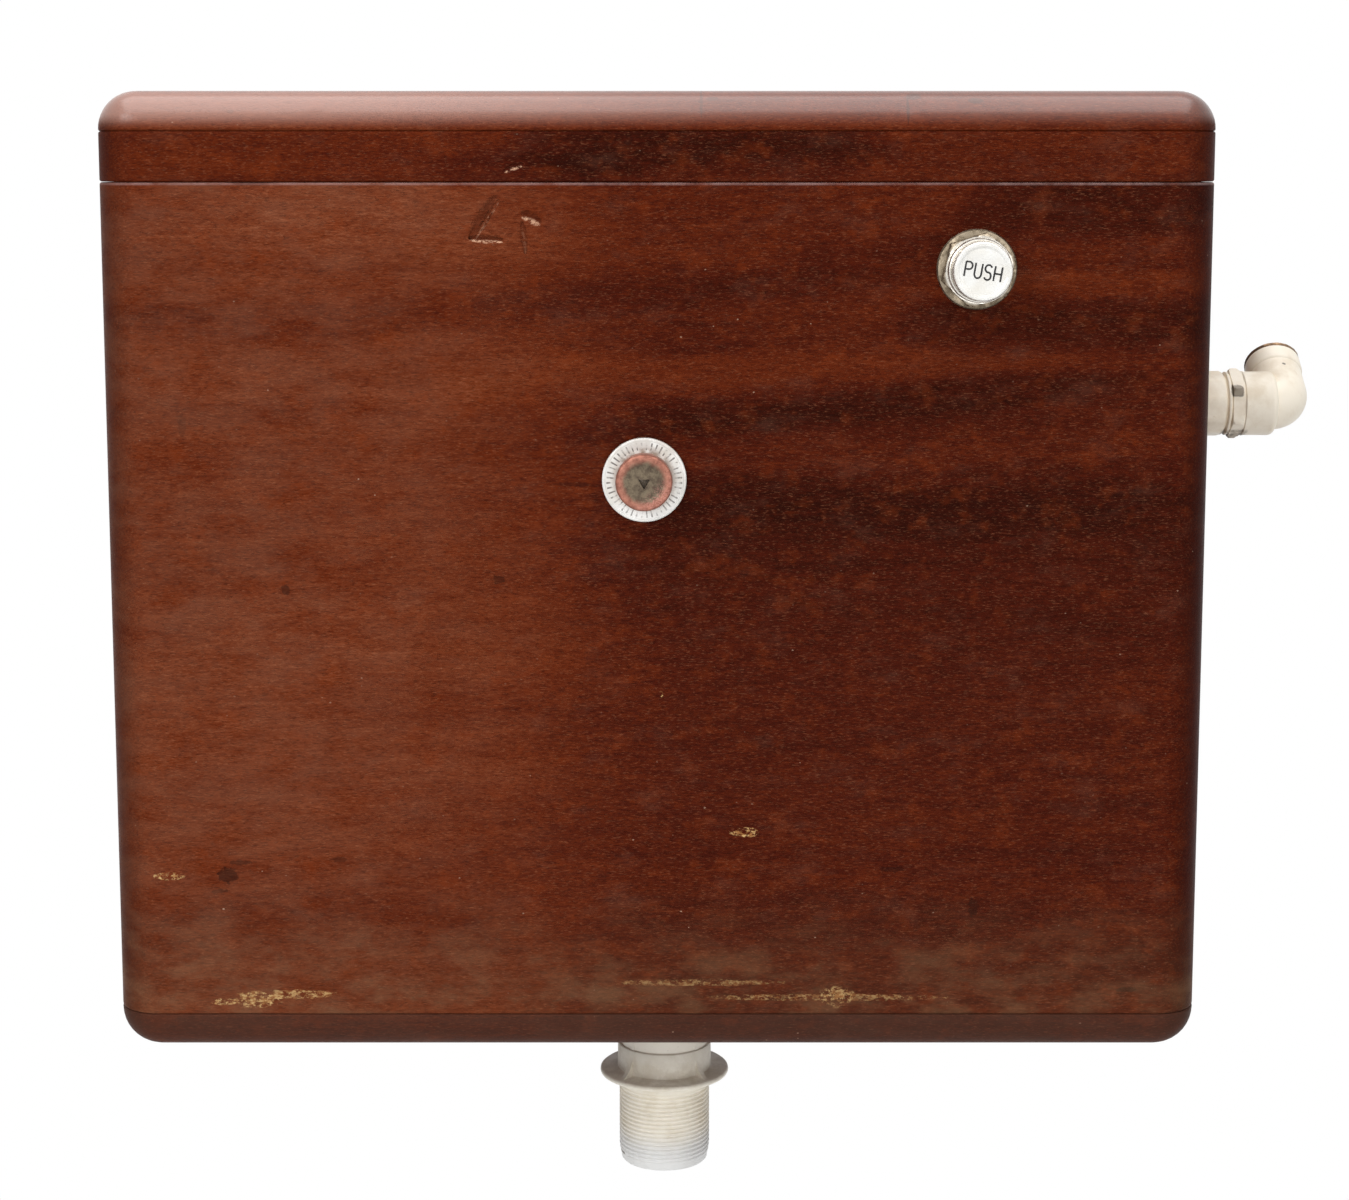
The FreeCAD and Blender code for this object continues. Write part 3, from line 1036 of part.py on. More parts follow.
def make_float():
    fulcrum = V(FULCRUM_X, INLET_Y, FULCRUM_Z)
    width = LUG_GAP - 1.0
    start = V(FULCRUM_X, INLET_Y - width / 2, FULCRUM_Z)
    hub = rod(start, ALONG_Y, width, FLOAT_HUB_R)
    finger = block((FULCRUM_X - 1.6, FULCRUM_X + 1.6), (start.y, start.y + width),
                   (FULCRUM_Z, FULCRUM_Z + FULCRUM_DROP))
    tip = rod(start + ALONG_Z * FULCRUM_DROP, ALONG_Y, width, LINK_PIN_R)
    upper = hub.fuse([finger, tip])
    upper.rotate(fulcrum, ALONG_Y, -FLOAT_SWING / 2)
    down = V(-math.cos(math.radians(FLOAT_EMPTY)), 0, -math.sin(math.radians(FLOAT_EMPTY)))
    arm = rod(fulcrum, down, FLOAT_ARM - FLOAT_BALL_R + FLOAT_ROD_BITE, FLOAT_ROD_R)
    lever = upper.fuse(arm).cut(rod(start, ALONG_Y, width, FULCRUM_PIN_R + SHAFT_FIT))
    node("float_lever", lever)

    ball = float_section()
    ball.Placement = FreeCAD.Placement(fulcrum + down * FLOAT_ARM,
                                       FreeCAD.Rotation(ALONG_Z, down))
    node("float_ball", ball)


def float_section():
    """Hollow ball with the thick boss that its rod screws into, at its own middle."""
    boss_r = FLOAT_ROD_R + FLOAT_BOSS_WALL
    boss_end = -FLOAT_BALL_R - FLOAT_BOSS_OUT
    hole_end = -FLOAT_BALL_R + FLOAT_ROD_BITE + SHAFT_FIT
    floor_z = hole_end + FLOAT_WALL
    hole_r = FLOAT_ROD_R + SHAFT_FIT
    inner = FLOAT_BALL_R - FLOAT_WALL
    meet = V(boss_r, 0, -math.sqrt(FLOAT_BALL_R ** 2 - boss_r ** 2))
    inner_meet = V(boss_r, 0, -math.sqrt(inner ** 2 - boss_r ** 2))
    shell = [Part.Arc(meet, V(FLOAT_BALL_R, 0, 0), V(0, 0, FLOAT_BALL_R)).toShape(),
             Part.makeLine(V(0, 0, FLOAT_BALL_R), V(0, 0, inner)),
             Part.Arc(V(0, 0, inner), V(inner, 0, 0), inner_meet).toShape(),
             Part.makeLine(inner_meet, V(boss_r, 0, floor_z)),
             Part.makeLine(V(boss_r, 0, floor_z), V(0, 0, floor_z)),
             Part.makeLine(V(0, 0, floor_z), V(0, 0, hole_end)),
             Part.makeLine(V(0, 0, hole_end), V(hole_r, 0, hole_end)),
             Part.makeLine(V(hole_r, 0, hole_end), V(hole_r, 0, boss_end)),
             Part.makeLine(V(hole_r, 0, boss_end), V(boss_r, 0, boss_end)),
             Part.makeLine(V(boss_r, 0, boss_end), meet)]
    return Part.Face(Part.Wire(shell)).revolve(V(0, 0, 0), ALONG_Z, 360)


def make_elbow():
    collar_x = HALF_WIDTH + WASHER_THICK + OUTER_COLLAR_LENGTH
    nut_start = V(collar_x, INLET_Y, INLET_Z)
    across_flats = UNION_NUT_ACROSS * math.cos(math.pi / 6)
    nut = hexagon(nut_start, ALONG_X, UNION_NUT_THICK, across_flats)
    node("elbow_union_nut", nut.cut(rod(nut_start, ALONG_X, UNION_NUT_THICK, VALVE_R)))

    spigot_x = HALF_WIDTH + VALVE_OUTER_END
    face_x = collar_x + UNION_NUT_THICK
    bend = V(HALF_WIDTH + ELBOW_BEND_OUT, INLET_Y, INLET_Z)
    tilt = math.radians(ELBOW_TILT)
    up = V(0, math.sin(tilt), math.cos(tilt))
    spigot = rod(V(spigot_x, INLET_Y, INLET_Z), ALONG_X, face_x - spigot_x, VALVE_R)
    collar = rod(V(face_x, INLET_Y, INLET_Z), ALONG_X, ELBOW_COLLAR_LENGTH, ELBOW_COLLAR_R)
    outer_edge = [e for e in ring_edges(collar, ELBOW_COLLAR_R) if e.BoundBox.XMin > face_x + 1]
    collar = collar.makeFillet(2.5, outer_edge)
    neck = rod(V(face_x, INLET_Y, INLET_Z), ALONG_X, bend.x - face_x, ELBOW_R)
    arm = rod(bend, up, ELBOW_ARM, ELBOW_R)
    elbow = spigot.fuse([collar, neck, Part.makeSphere(ELBOW_R, bend), arm])
    bore = VALVE_INLET_BORE
    inside = rod(V(spigot_x, INLET_Y, INLET_Z), ALONG_X, bend.x - spigot_x, bore)
    inside = inside.fuse([Part.makeSphere(bore, bend), rod(bend, up, ELBOW_ARM, bore)])
    bush_foot = bend + up * (ELBOW_ARM - INLET_BUSH_LENGTH)
    inside = inside.fuse(rod(bush_foot, up, INLET_BUSH_LENGTH, INLET_BUSH_R))
    node("inlet_elbow", elbow.cut(inside))

    sleeve = rod(bush_foot, up, INLET_BUSH_LENGTH, INLET_BUSH_R)
    rim = rod(bend + up * ELBOW_ARM, up, INLET_RIM_THICK, ELBOW_R)
    outer_rim = [e for e in ring_edges(rim, ELBOW_R)
                 if e.BoundBox.ZMax > (bend + up * (ELBOW_ARM + 1)).z + ELBOW_R * math.sin(tilt)]
    rim = rim.makeFillet(INLET_RIM_THICK * 0.4, outer_rim)
    bush = sleeve.fuse(rim).cut(rod(bush_foot, up, INLET_BUSH_LENGTH + INLET_RIM_THICK,
                                    INLET_BORE))
    node("inlet_bush", bush)


def export_all():
    os.makedirs("parts", exist_ok=True)
    for name, shape in NODES.items():
        placed = shape.copy()
        placed.translate(V(0, 0, -WALL_SCREW_HEIGHT))
        placed.exportStep("parts/" + name + ".step")


make_case()
make_glue_blocks()
make_lid()
make_tank()
make_siphon()
make_outlet_tail()
make_lift_train()
make_rock_shaft()
make_brackets()
make_button()
make_spindle()
make_valve()
make_float()
make_elbow()
export_all()

print("button stroke mm", round(BUTTON_STROKE, 4), "swing deg", round(2 * SWING, 4))
print("crank deg", round(CRANK_REST, 4), round(CRANK_FULL, 4))
print("valve piston travel mm", round(PISTON_TRAVEL, 4), "float deg", FLOAT_SWING)
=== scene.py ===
import json
import math
import random

import bmesh
import bpy
from mathutils import Matrix, Vector


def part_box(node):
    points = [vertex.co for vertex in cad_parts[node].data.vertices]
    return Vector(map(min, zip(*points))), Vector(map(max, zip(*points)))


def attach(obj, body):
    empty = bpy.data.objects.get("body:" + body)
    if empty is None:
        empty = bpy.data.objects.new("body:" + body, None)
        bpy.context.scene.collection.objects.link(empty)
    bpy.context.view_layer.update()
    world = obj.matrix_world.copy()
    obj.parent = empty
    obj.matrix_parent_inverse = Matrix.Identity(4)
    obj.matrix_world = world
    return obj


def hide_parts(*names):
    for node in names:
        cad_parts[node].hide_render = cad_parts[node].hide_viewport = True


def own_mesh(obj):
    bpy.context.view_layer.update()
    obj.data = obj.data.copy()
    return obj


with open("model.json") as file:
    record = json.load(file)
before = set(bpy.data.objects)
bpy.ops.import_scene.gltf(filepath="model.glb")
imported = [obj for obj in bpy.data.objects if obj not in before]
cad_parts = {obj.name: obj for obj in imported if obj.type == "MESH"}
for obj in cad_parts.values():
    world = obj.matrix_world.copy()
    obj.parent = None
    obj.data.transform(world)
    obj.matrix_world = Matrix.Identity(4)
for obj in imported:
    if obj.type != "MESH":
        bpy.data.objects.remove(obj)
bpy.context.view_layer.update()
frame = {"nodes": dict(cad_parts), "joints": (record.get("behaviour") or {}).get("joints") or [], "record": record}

# A mahogany-cased flushing cistern. X is to the right, Y into the wall, Z up, in metres.
# Each section makes one group of pieces; every place comes from the frame's own boxes.

WHITE = (1.0, 1.0, 1.0, 1.0)


def box(node):
    low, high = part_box(node)
    return Vector(low), Vector(high)


def middle(node):
    low, high = box(node)
    return (low + high) / 2


# ---- shader maths ---------------------------------------------------------------------
def srgb(red, green, blue):
    """Display colour, 0 to 255, as the linear colour that a socket takes."""
    def linear(c):
        c = c / 255
        return c / 12.92 if c <= 0.04045 else ((c + 0.055) / 1.055) ** 2.4
    return (linear(red), linear(green), linear(blue), 1.0)


class Tone:
    """A shader value: Python's operators on it add Math nodes."""

    def __init__(self, finish, socket):
        self.finish = finish
        self.socket = socket

    def math(self, operation, first, second=0.0):
        return self.finish.node("ShaderNodeMath", {"operation": operation},
                                {0: first, 1: second})

    def __add__(self, other):
        return self.math("ADD", self, other)

    def __sub__(self, other):
        return self.math("SUBTRACT", self, other)

    def __mul__(self, other):
        return self.math("MULTIPLY", self, other)

    def __truediv__(self, other):
        return self.math("DIVIDE", self, other)

    __radd__ = __add__
    __rmul__ = __mul__

    def __rsub__(self, other):
        return self.math("SUBTRACT", other, self)

    def __neg__(self):
        return self.math("MULTIPLY", self, -1.0)

    def __abs__(self):
        return self.math("ABSOLUTE", self)

    def __pow__(self, power):
        return self.math("POWER", self, power)

    def above(self, other):
        return self.math("MAXIMUM", self, other)

    def below(self, other):
        return self.math("MINIMUM", self, other)

    def steps(self, low, high):
        """0 under low, 1 over high and smooth between; low may be the larger."""
        return self.finish.node("ShaderNodeMapRange", {"interpolation_type": "SMOOTHSTEP"},
                                {"Value": self, "From Min": low, "From Max": high})


class Finish:
    """One procedural material, built round a Principled shader."""

    def __init__(self, name, **constants):
        self.material = bpy.data.materials.new(name)
        self.material.use_nodes = True
        self.tree = self.material.node_tree
        self.shader = self.tree.nodes["Principled BSDF"]
        self.set(**constants)

    def node(self, kind, settings=None, inputs=None, output=0):
        """Adds a node: settings first, then its inputs, and gives one output as a Tone."""
        made = self.tree.nodes.new(kind)
        for key, value in (settings or {}).items():
            if key == "stops":
                self.set_stops(made.color_ramp, value)
            else:
                setattr(made, key, value)
        for key, value in (inputs or {}).items():
            self.feed(made.inputs[key], value)
        return Tone(self, made.outputs[output])

    @staticmethod
    def set_stops(ramp, stops):
        while len(ramp.elements) < len(stops):
            ramp.elements.new(0.5)
        for element, (place, colour) in zip(ramp.elements, stops):
            element.position = place
            element.color = colour

    def feed(self, socket, value):
        if isinstance(value, Tone):
            self.tree.links.new(value.socket, socket)
        else:
            socket.default_value = value

    def set(self, **values):
        """Sets the shader's sockets, such as base_color or roughness."""
        for key, value in values.items():
            self.feed(self.shader.inputs[key.replace("_", " ").title().replace("Ior", "IOR")],
                      value)
        return self

    def place(self):
        return self.node("ShaderNodeTexCoord", output="Object")

    def axes(self, vector=None):
        split = self.node("ShaderNodeSeparateXYZ", inputs={0: vector or self.place()})
        return [Tone(self, split.socket.node.outputs[i]) for i in range(3)]

    def scaled(self, scale, shift=(0, 0, 0)):
        """Place in the row frame times a scale, which is one number where it is even."""
        if isinstance(scale, float):
            scale = (scale, scale, scale)
        vector = self.node("ShaderNodeVectorMath", {"operation": "MULTIPLY"},
                           {0: self.place(), 1: scale})
        return self.node("ShaderNodeVectorMath", {"operation": "ADD"}, {0: vector, 1: shift})

    def noise(self, scale, detail=2.0, rough=0.5, shift=(0, 0, 0), twist=0.0):
        """Noise stretched by a scale along each axis, per metre."""
        return self.node("ShaderNodeTexNoise", {},
                         {"Vector": self.scaled(scale, shift), "Scale": 1.0,
                          "Detail": detail, "Roughness": rough, "Distortion": twist})

    def cells(self, per_metre, feature="F1", output="Distance"):
        """Cells of random points, so many per metre along each axis."""
        return self.node("ShaderNodeTexVoronoi", {"feature": feature},
                         {"Vector": self.scaled(per_metre), "Scale": 1.0}, output)

    def mix(self, factor, first, second):
        """Colour that goes from the first to the second as the factor goes from 0 to 1."""
        return self.node("ShaderNodeMix", {"data_type": "RGBA", "clamp_factor": True},
                         {0: factor, 6: first, 7: second}, 2)

    def bump(self, height, distance, strength=1.0, normal=None):
        inputs = {"Height": height, "Distance": distance, "Strength": strength}
        if normal:
            inputs["Normal"] = normal
        return self.node("ShaderNodeBump", {}, inputs)

    def blob(self, x, z, half_x, half_z, ragged=0.5, slope=0.0, ragged_scale=300.0,
             power=2.0):
        """Ragged patch on an upright face, 1 inside and 0 outside, in row-frame metres.
        A power over 2 makes it squarer."""
        across, _, up = self.axes()
        across = across - x
        up = up - z - across * slope
        reach = (abs(across / half_x) ** power + abs(up / half_z) ** power) ** (1 / power)
        edge = self.noise(ragged_scale, 3.0, 0.6)
        return (reach + (edge - 0.5) * 2 * ragged).steps(1.05, 0.8)

    def stroke(self, start, end, half_wide, ragged=0.5):
        """Straight scratch on an upright face, from one (x, z) to another in metres."""
        across, _, up = self.axes()
        across = across - start[0]
        up = up - start[1]
        run = (end[0] - start[0], end[1] - start[1])
        part = (across * run[0] + up * run[1]) / (run[0] ** 2 + run[1] ** 2)
        part = part.above(0.0).below(1.0)
        off = ((across - part * run[0]) ** 2.0 + (up - part * run[1]) ** 2.0) ** 0.5
        taper = 1.25 - abs(part - 0.5) ** 2.0 * 3.0
        edge = self.noise(420.0, 4.0, 0.7)
        return (off / (taper * half_wide) + (edge - 0.5) * 2 * ragged).steps(1.25, 0.1)


# ---- finishes -------------------------------------------------------------------------
FRONT_LOW, FRONT_HIGH = box("front_panel")
FRONT_FACE = FRONT_LOW.y
HALF_WIDTH = FRONT_HIGH.x
LID_LOW, LID_HIGH = box("lid_top_board")


def mahogany(name, along="x", shift=(0, 0, 0), levels=(0.74, 0.46), bands=(), marks=None,
             edge_shade_and_grain=True, gouges=()):
    """Old waxed mahogany with ribbon bands, short pores, dust specks and worn places,
    painted shade on the rounded side edges, and gouges with painted shade and highlight.
    Levels are how pale it is at the left and at the right, the paler left partly painted
    sheen; bands darken or pale a stretch."""
    wood = Finish(name)

    def stretched(run, cross):
        """Noise scale along the grain and across it."""
        return (run, cross, cross) if along == "x" else (cross, run, cross)

    x, _, z = wood.axes()
    broad = wood.noise(stretched(3.0, 16.0), 3.0, 0.55, shift, 0.4)
    ribbon = wood.noise(stretched(5.0, 60.0), 4.0, 0.6, shift, 0.5)
    streak = wood.noise(stretched(40.0, 330.0), 4.0, 0.7, shift, 0.3)
    fibre = wood.noise(stretched(260.0, 1100.0), 4.0, 0.75, shift, 0.2)
    pore = wood.noise(stretched(340.0, 1700.0), 3.0, 0.65, (5.1, 2.3, 7.7))
    glint = wood.noise(stretched(460.0, 1900.0), 3.0, 0.6, (1.7, 9.2, 3.1))

    left, right = levels
    drift = wood.noise(4.0, 3.0, 0.6, shift)
    # paler towards the left: partly the wood's own tone, partly painted sheen from the light at the left
    pale = (x + (drift - 0.5) * 0.12).steps(0.015, -0.13)
    tone = right + pale * (left - right)
    for place, run, half_run, thick, slope, depth in bands:
        wander = (wood.noise((5.0, 5.0, 9.0), 2.0, 0.5, (place * 9, 0, 0)) - 0.5) * 0.025
        up = (z + wander - place - (x - run) * slope) / thick
        across = (x - run) / half_run
        tone = tone - (up ** 2.0 + across ** 4.0).steps(1.7, 0.0) * depth
    tone = tone + (broad - 0.5) * 0.30 + (ribbon - 0.5) * 0.26 + (streak - 0.5) * 0.42
    tone = tone + (fibre - 0.5) * 0.80 - 0.05
    colour = wood.node("ShaderNodeValToRGB", {"stops": [
        (0.05, srgb(40, 10, 4)), (0.33, srgb(67, 20, 8)), (0.55, srgb(90, 33, 12)),
        (0.76, srgb(108, 49, 25)), (0.97, srgb(132, 73, 47))]}, {0: tone})

    rust = wood.noise((80.0, 80.0, 110.0), 3.0, 0.6, (2.2, 6.1, 3.3)).steps(0.52, 0.72)
    film = wood.noise((34.0, 34.0, 60.0), 4.0, 0.7, (8.3, 1.9, 4.4)).steps(0.50, 0.74)
    dark_pore = pore.steps(0.52, 0.66)
    colour = wood.mix(rust * 0.26, colour, srgb(122, 50, 18))
    colour = wood.mix(film * 0.14, colour, srgb(112, 76, 60))
    colour = wood.mix(dark_pore * 0.42, colour, srgb(38, 12, 7))
    colour = wood.mix(glint.steps(0.55, 0.70) * 0.20, colour, srgb(168, 108, 76))

    if edge_shade_and_grain:
        # painted shade: the rounded side edges darken as they turn from the light, over dark end grain and
        # gathered varnish
        edge = abs(x).steps(HALF_WIDTH - 0.020, HALF_WIDTH - 0.001)
        edge = (edge * (0.75 + ribbon * 0.5)).below(0.9)
        colour = wood.mix(edge * 0.66, colour, srgb(38, 12, 7))
    if marks:
        colour = marks(wood, colour)

    torn = (wood.noise(900.0, 2.0) - 0.5) * 0.22
    speck = wood.cells(stretched(260.0, 360.0)) + torn
    chance = wood.axes(wood.cells(stretched(260.0, 360.0), output="Color"))[0]
    where = wood.noise(9.0, 3.0, 0.6, (6, 1, 2)).steps(0.45, 0.65)
    dust = speck.steps(0.15, 0.07) * chance.steps(0.962, 0.972)
    colour = wood.mix(dust * (0.12 + where * 0.50), colour, srgb(186, 152, 128))

    height = fibre * 0.5 - dark_pore * 0.8 + streak * 0.4
    wave = wood.noise((6.0, 6.0, 9.0), 2.0, 0.5)
    normal = wood.bump(height, 0.00016, 0.55, wood.bump(wave, 0.004, 0.35))
    for start, end, half_wide, groove_shade, lip in gouges:
        cut = wood.stroke(start, end, half_wide, 0.7)
        under = [(px, pz - half_wide * 0.9) for px, pz in (start, end)]
        burr_and_highlight = wood.noise((500.0, 500.0, 900.0), 3.0, 0.7).steps(0.42, 0.58)
        # painted shade in the groove, and below it a painted highlight on the bared lower lip
        colour = wood.mix(cut * groove_shade, colour, srgb(52, 18, 8))
        colour = wood.mix(wood.stroke(*under, half_wide * 0.55, 1.0) * burr_and_highlight * lip, colour,
                          srgb(204, 158, 128))
        normal = wood.bump(-cut, 0.0014, 0.7, normal)

    smear = wood.noise(stretched(14.0, 30.0), 3.0, 0.6, (4, 4, 4))
    rough = 0.38 + (smear - 0.5) * 0.22 + dark_pore * 0.2 + (ribbon - 0.5) * 0.1
    low_wax = LID_HIGH.z - 0.0165
    wax = z.steps(low_wax, low_wax + 0.007) * (0.75 + smear * 0.8).below(1.0)
    wood.set(base_color=colour, roughness=rough, normal=normal, coat_weight=wax,
             coat_roughness=0.26, specular_ior_level=0.02)
    return wood.material


def front_marks(wood, colour):
    """Plugs, knots, stains and pale chips of the front panel, left to right;
    then a painted sheen at the left and a painted highlight along the eased top edge.
    """
    low = FRONT_LOW.z
    for x, up, half_x, half_z, strength in (
            (-0.209, 0.070, 0.0050, 0.0042, 0.62), (-0.203, 0.0765, 0.0060, 0.0012, 0.5),
            (-0.213, 0.062, 0.0050, 0.0011, 0.45), (-0.178, 0.211, 0.0022, 0.0024, 0.55),
            (-0.076, 0.216, 0.0030, 0.0022, 0.5), (-0.155, 0.078, 0.0040, 0.0014, 0.4),
            (0.154, 0.054, 0.0026, 0.0046, 0.5), (0.114, 0.073, 0.0066, 0.0013, 0.5),
            (0.230, 0.0125, 0.0060, 0.0014, 0.6), (-0.040, 0.262, 0.0100, 0.0012, 0.3),
            (0.010, 0.262, 0.0200, 0.0020, 0.25), (-0.226, 0.290, 0.0022, 0.0060, 0.25)):
        dent = wood.blob(x, low + up, half_x, half_z, 0.9, 0.0, 420.0)
        colour = wood.mix(dent * strength, colour, srgb(30, 12, 8))
    chip_tint = wood.mix(wood.noise((500, 500, 900), 2.0).steps(0.4, 0.6), srgb(214, 176, 118),
                         srgb(158, 108, 62))
    crumbs = wood.noise((240.0, 240.0, 420.0), 5.0, 0.8, (3.3, 0, 0)).steps(0.46, 0.54)
    for x, up, half_x, half_z, strength in (
            (-0.238, 0.0695, 0.0080, 0.0020, 0.85), (-0.212, 0.0062, 0.0070, 0.0018, 0.9),
            (-0.196, 0.0075, 0.0120, 0.0046, 0.85), (-0.178, 0.0100, 0.0220, 0.0024, 0.6),
            (0.043, 0.0915, 0.0072, 0.0024, 0.85), (0.088, 0.009, 0.0090, 0.0052, 0.55),
            (0.020, 0.0160, 0.0400, 0.0018, 0.35), (0.080, 0.0085, 0.0600, 0.0018, 0.38),
            (0.002, 0.160, 0.0009, 0.0016, 0.8)):
        chip = wood.blob(x, low + up, half_x, half_z, 0.45, 0.0, 260.0) * crumbs
        colour = wood.mix(chip * strength, colour, chip_tint)
    # greyer and paler towards the foot of the board, in patches
    foot = wood.axes()[2].steps(low + 0.07, low)
    patchy_cloud = wood.noise((30.0, 30.0, 60.0), 4.0, 0.65)
    colour = wood.mix(foot * (0.10 + patchy_cloud.steps(0.4, 0.7) * 0.35), colour, srgb(120, 88, 62))
    # painted sheen: a pale haze at the left stands in for the reflection of the light there
    painted_sheen = (wood.axes()[0] * -1.0).steps(0.0, 0.2) * patchy_cloud.steps(0.3, 0.7)
    colour = wood.mix(painted_sheen * 0.12, colour, srgb(150, 112, 88))
    # painted highlight: the eased top edge catching the light from above, broken in patches
    painted_edge_highlight = wood.axes()[2].steps(FRONT_HIGH.z - 0.0017, FRONT_HIGH.z - 0.0007)
    rubbed = wood.noise(60.0, 4.0, 0.7).steps(0.30, 0.62)
    return wood.mix(painted_edge_highlight * (0.12 + rubbed * 0.34), colour, srgb(158, 130, 126))


# start and end (x, z), half width, how dark (painted shade in the groove), how bright its lower lip (painted
# highlight on bared wood)
FRONT_GOUGES = (
    ((-0.0768, 0.0775), (-0.0878, 0.0595), 0.0024, 0.42, 0.0),
    ((-0.0745, 0.0765), (-0.0850, 0.0600), 0.0012, 0.0, 0.28),
    ((-0.0880, 0.0590), (-0.0730, 0.0583), 0.0014, 0.55, 1.0),
    ((-0.0630, 0.0705), (-0.0553, 0.0672), 0.0022, 0.45, 0.9),
    ((-0.0633, 0.0660), (-0.0618, 0.0520), 0.0014, 0.30, 0.10),
)
RIM_GOUGES = (((-0.0712, 0.0908), (-0.0634, 0.0937), 0.0013, 0.20, 0.85),)


def base_grime(wood, colour):
    """Greyer base board, as years of washing leave it."""
    cloud = wood.noise((20.0, 20.0, 60.0), 4.0, 0.65)
    return wood.mix(0.25 + cloud * 0.35, colour, srgb(84, 62, 50))


def lid_marks(wood, colour):
    """Scratches and bruises along the lid's round-over, and a painted highlight on it, broader at the left."""
    top = LID_HIGH.z
    for x, down, half_x, half_z in ((0.021, 0.006, 0.0008, 0.0065), (0.026, 0.004, 0.003, 0.001),
                                    (0.118, 0.009, 0.0008, 0.0060), (0.121, 0.003, 0.004, 0.0016),
                                    (0.150, 0.005, 0.0040, 0.0015), (-0.20, 0.010, 0.002, 0.001)):
        mark = wood.blob(x, top - down, half_x, half_z, 0.5, 0.0, 500.0)
        colour = wood.mix(mark * 0.7, colour, srgb(52, 24, 16))
    across, _, up = wood.axes()
    left = across.steps(0.10, -0.20)
    # painted highlight on the round-over, stronger at the left and fading out over the flat top
    painted_sheen = up.steps(top - 0.0185, top - 0.0105) * (0.14 + left * 0.42)
    painted_sheen = painted_sheen * (0.3 + 0.7 * up.steps(top - 0.0002, top - 0.0016))
    return wood.mix(painted_sheen, colour, srgb(166, 126, 112))


def bare_deal(name):
    wood = Finish(name)
    rings = wood.noise((3.0, 60.0, 90.0), 4.0, 0.6, twist=0.6)
    fibre = wood.noise((30.0, 900.0, 900.0), 2.0)
    dirt = wood.noise(9.0, 4.0, 0.6)
    colour = wood.mix(rings.steps(0.35, 0.68), srgb(190, 158, 116), srgb(140, 100, 62))
    colour = wood.mix(fibre.steps(0.5, 0.8) * 0.4, colour, srgb(96, 66, 42))
    colour = wood.mix(dirt.steps(0.5, 0.75) * 0.45, colour, srgb(78, 60, 46))
    wood.set(base_color=colour, roughness=0.72 + (fibre - 0.5) * 0.2,
             normal=wood.bump(fibre + rings * 0.4, 0.0002, 0.6))
    return wood.material


def moulding(name, base, stain, roughness, marks=None):
    """Aged plastic, rubber or paint: a mottled colour with grime and faint orange peel."""
    skin = Finish(name)
    cloud = skin.noise(70.0, 4.0, 0.6)
    fine = skin.noise(900.0, 2.0, 0.5)
    spots = skin.noise(260.0, 3.0, 0.7)
    colour = skin.mix(cloud.steps(0.42, 0.72) * 0.5, base, stain)
    colour = skin.mix(spots.steps(0.66, 0.74) * 0.45, colour, stain)
    if marks:
        colour = marks(skin, colour)
    skin.set(base_color=colour, roughness=roughness + (cloud - 0.5) * 0.25,
             normal=skin.bump(fine * 0.4 + cloud, 0.0003, 0.35),
             specular_ior_level=0.4)
    return skin.material


def worn_metal(name, bright, dull, roughness, scale=60.0, fine=700.0, polished=None):
    """Plated or bare metal gone patchy: bright where rubbed, dull and pitted elsewhere.
    Polished gives the depths between which it turns bright towards the front."""
    metal = Finish(name)
    cloud = metal.noise(scale, 5.0, 0.65)
    scratch = metal.noise((fine, fine * 0.2, fine), 2.0, 0.6)
    pits = metal.noise(fine * 1.3, 2.0, 0.6)
    worn = (cloud + (scratch - 0.5) * 0.35).steps(0.38, 0.64)
    colour = metal.mix(worn, bright, dull)
    roughness = roughness + worn * 0.18 + (scratch - 0.5) * 0.12
    if polished:
        rubbed = metal.axes()[1].steps(*polished)
        colour = metal.mix(rubbed * 0.85, colour, srgb(226, 222, 214))
        roughness = roughness * (1.0 - rubbed * 0.35)
    metal.set(base_color=colour, metallic=1.0 - worn * 0.2, roughness=roughness,
              normal=metal.bump(scratch * 0.5 - pits.steps(0.6, 0.8), 0.0001, 0.5))
    return metal.material


def round_place(skin, centre):
    """Angle and distance on an upright face, about one centre."""
    x, _, z = skin.axes()
    x = x - centre.x
    z = z - centre.z
    angle = skin.node("ShaderNodeMath", {"operation": "ARCTAN2"}, {0: z, 1: x})
    return angle, (x ** 2.0 + z ** 2.0) ** 0.5


RING = middle("spindle_ring")
RING_R = (box("spindle_ring")[1].x - box("spindle_ring")[0].x) / 2
TICKS = 44


def china(name, marks=None):
    """White glazed china, a little mottled and finely crazed."""
    skin = Finish(name)
    cloud = skin.noise(120.0, 4.0, 0.6)
    craze = skin.cells(330.0, "DISTANCE_TO_EDGE")
    colour = skin.mix(cloud.steps(0.35, 0.75), srgb(233, 231, 226), srgb(222, 217, 207))
    colour = skin.mix(craze.steps(0.02, 0.0) * 0.05, colour, srgb(150, 124, 92))
    if marks:
        colour = marks(skin, colour)
    skin.set(base_color=colour, roughness=0.16 + cloud * 0.1, coat_weight=0.4,
             coat_roughness=0.05, normal=skin.bump(cloud, 0.0002, 0.25))
    return skin.material


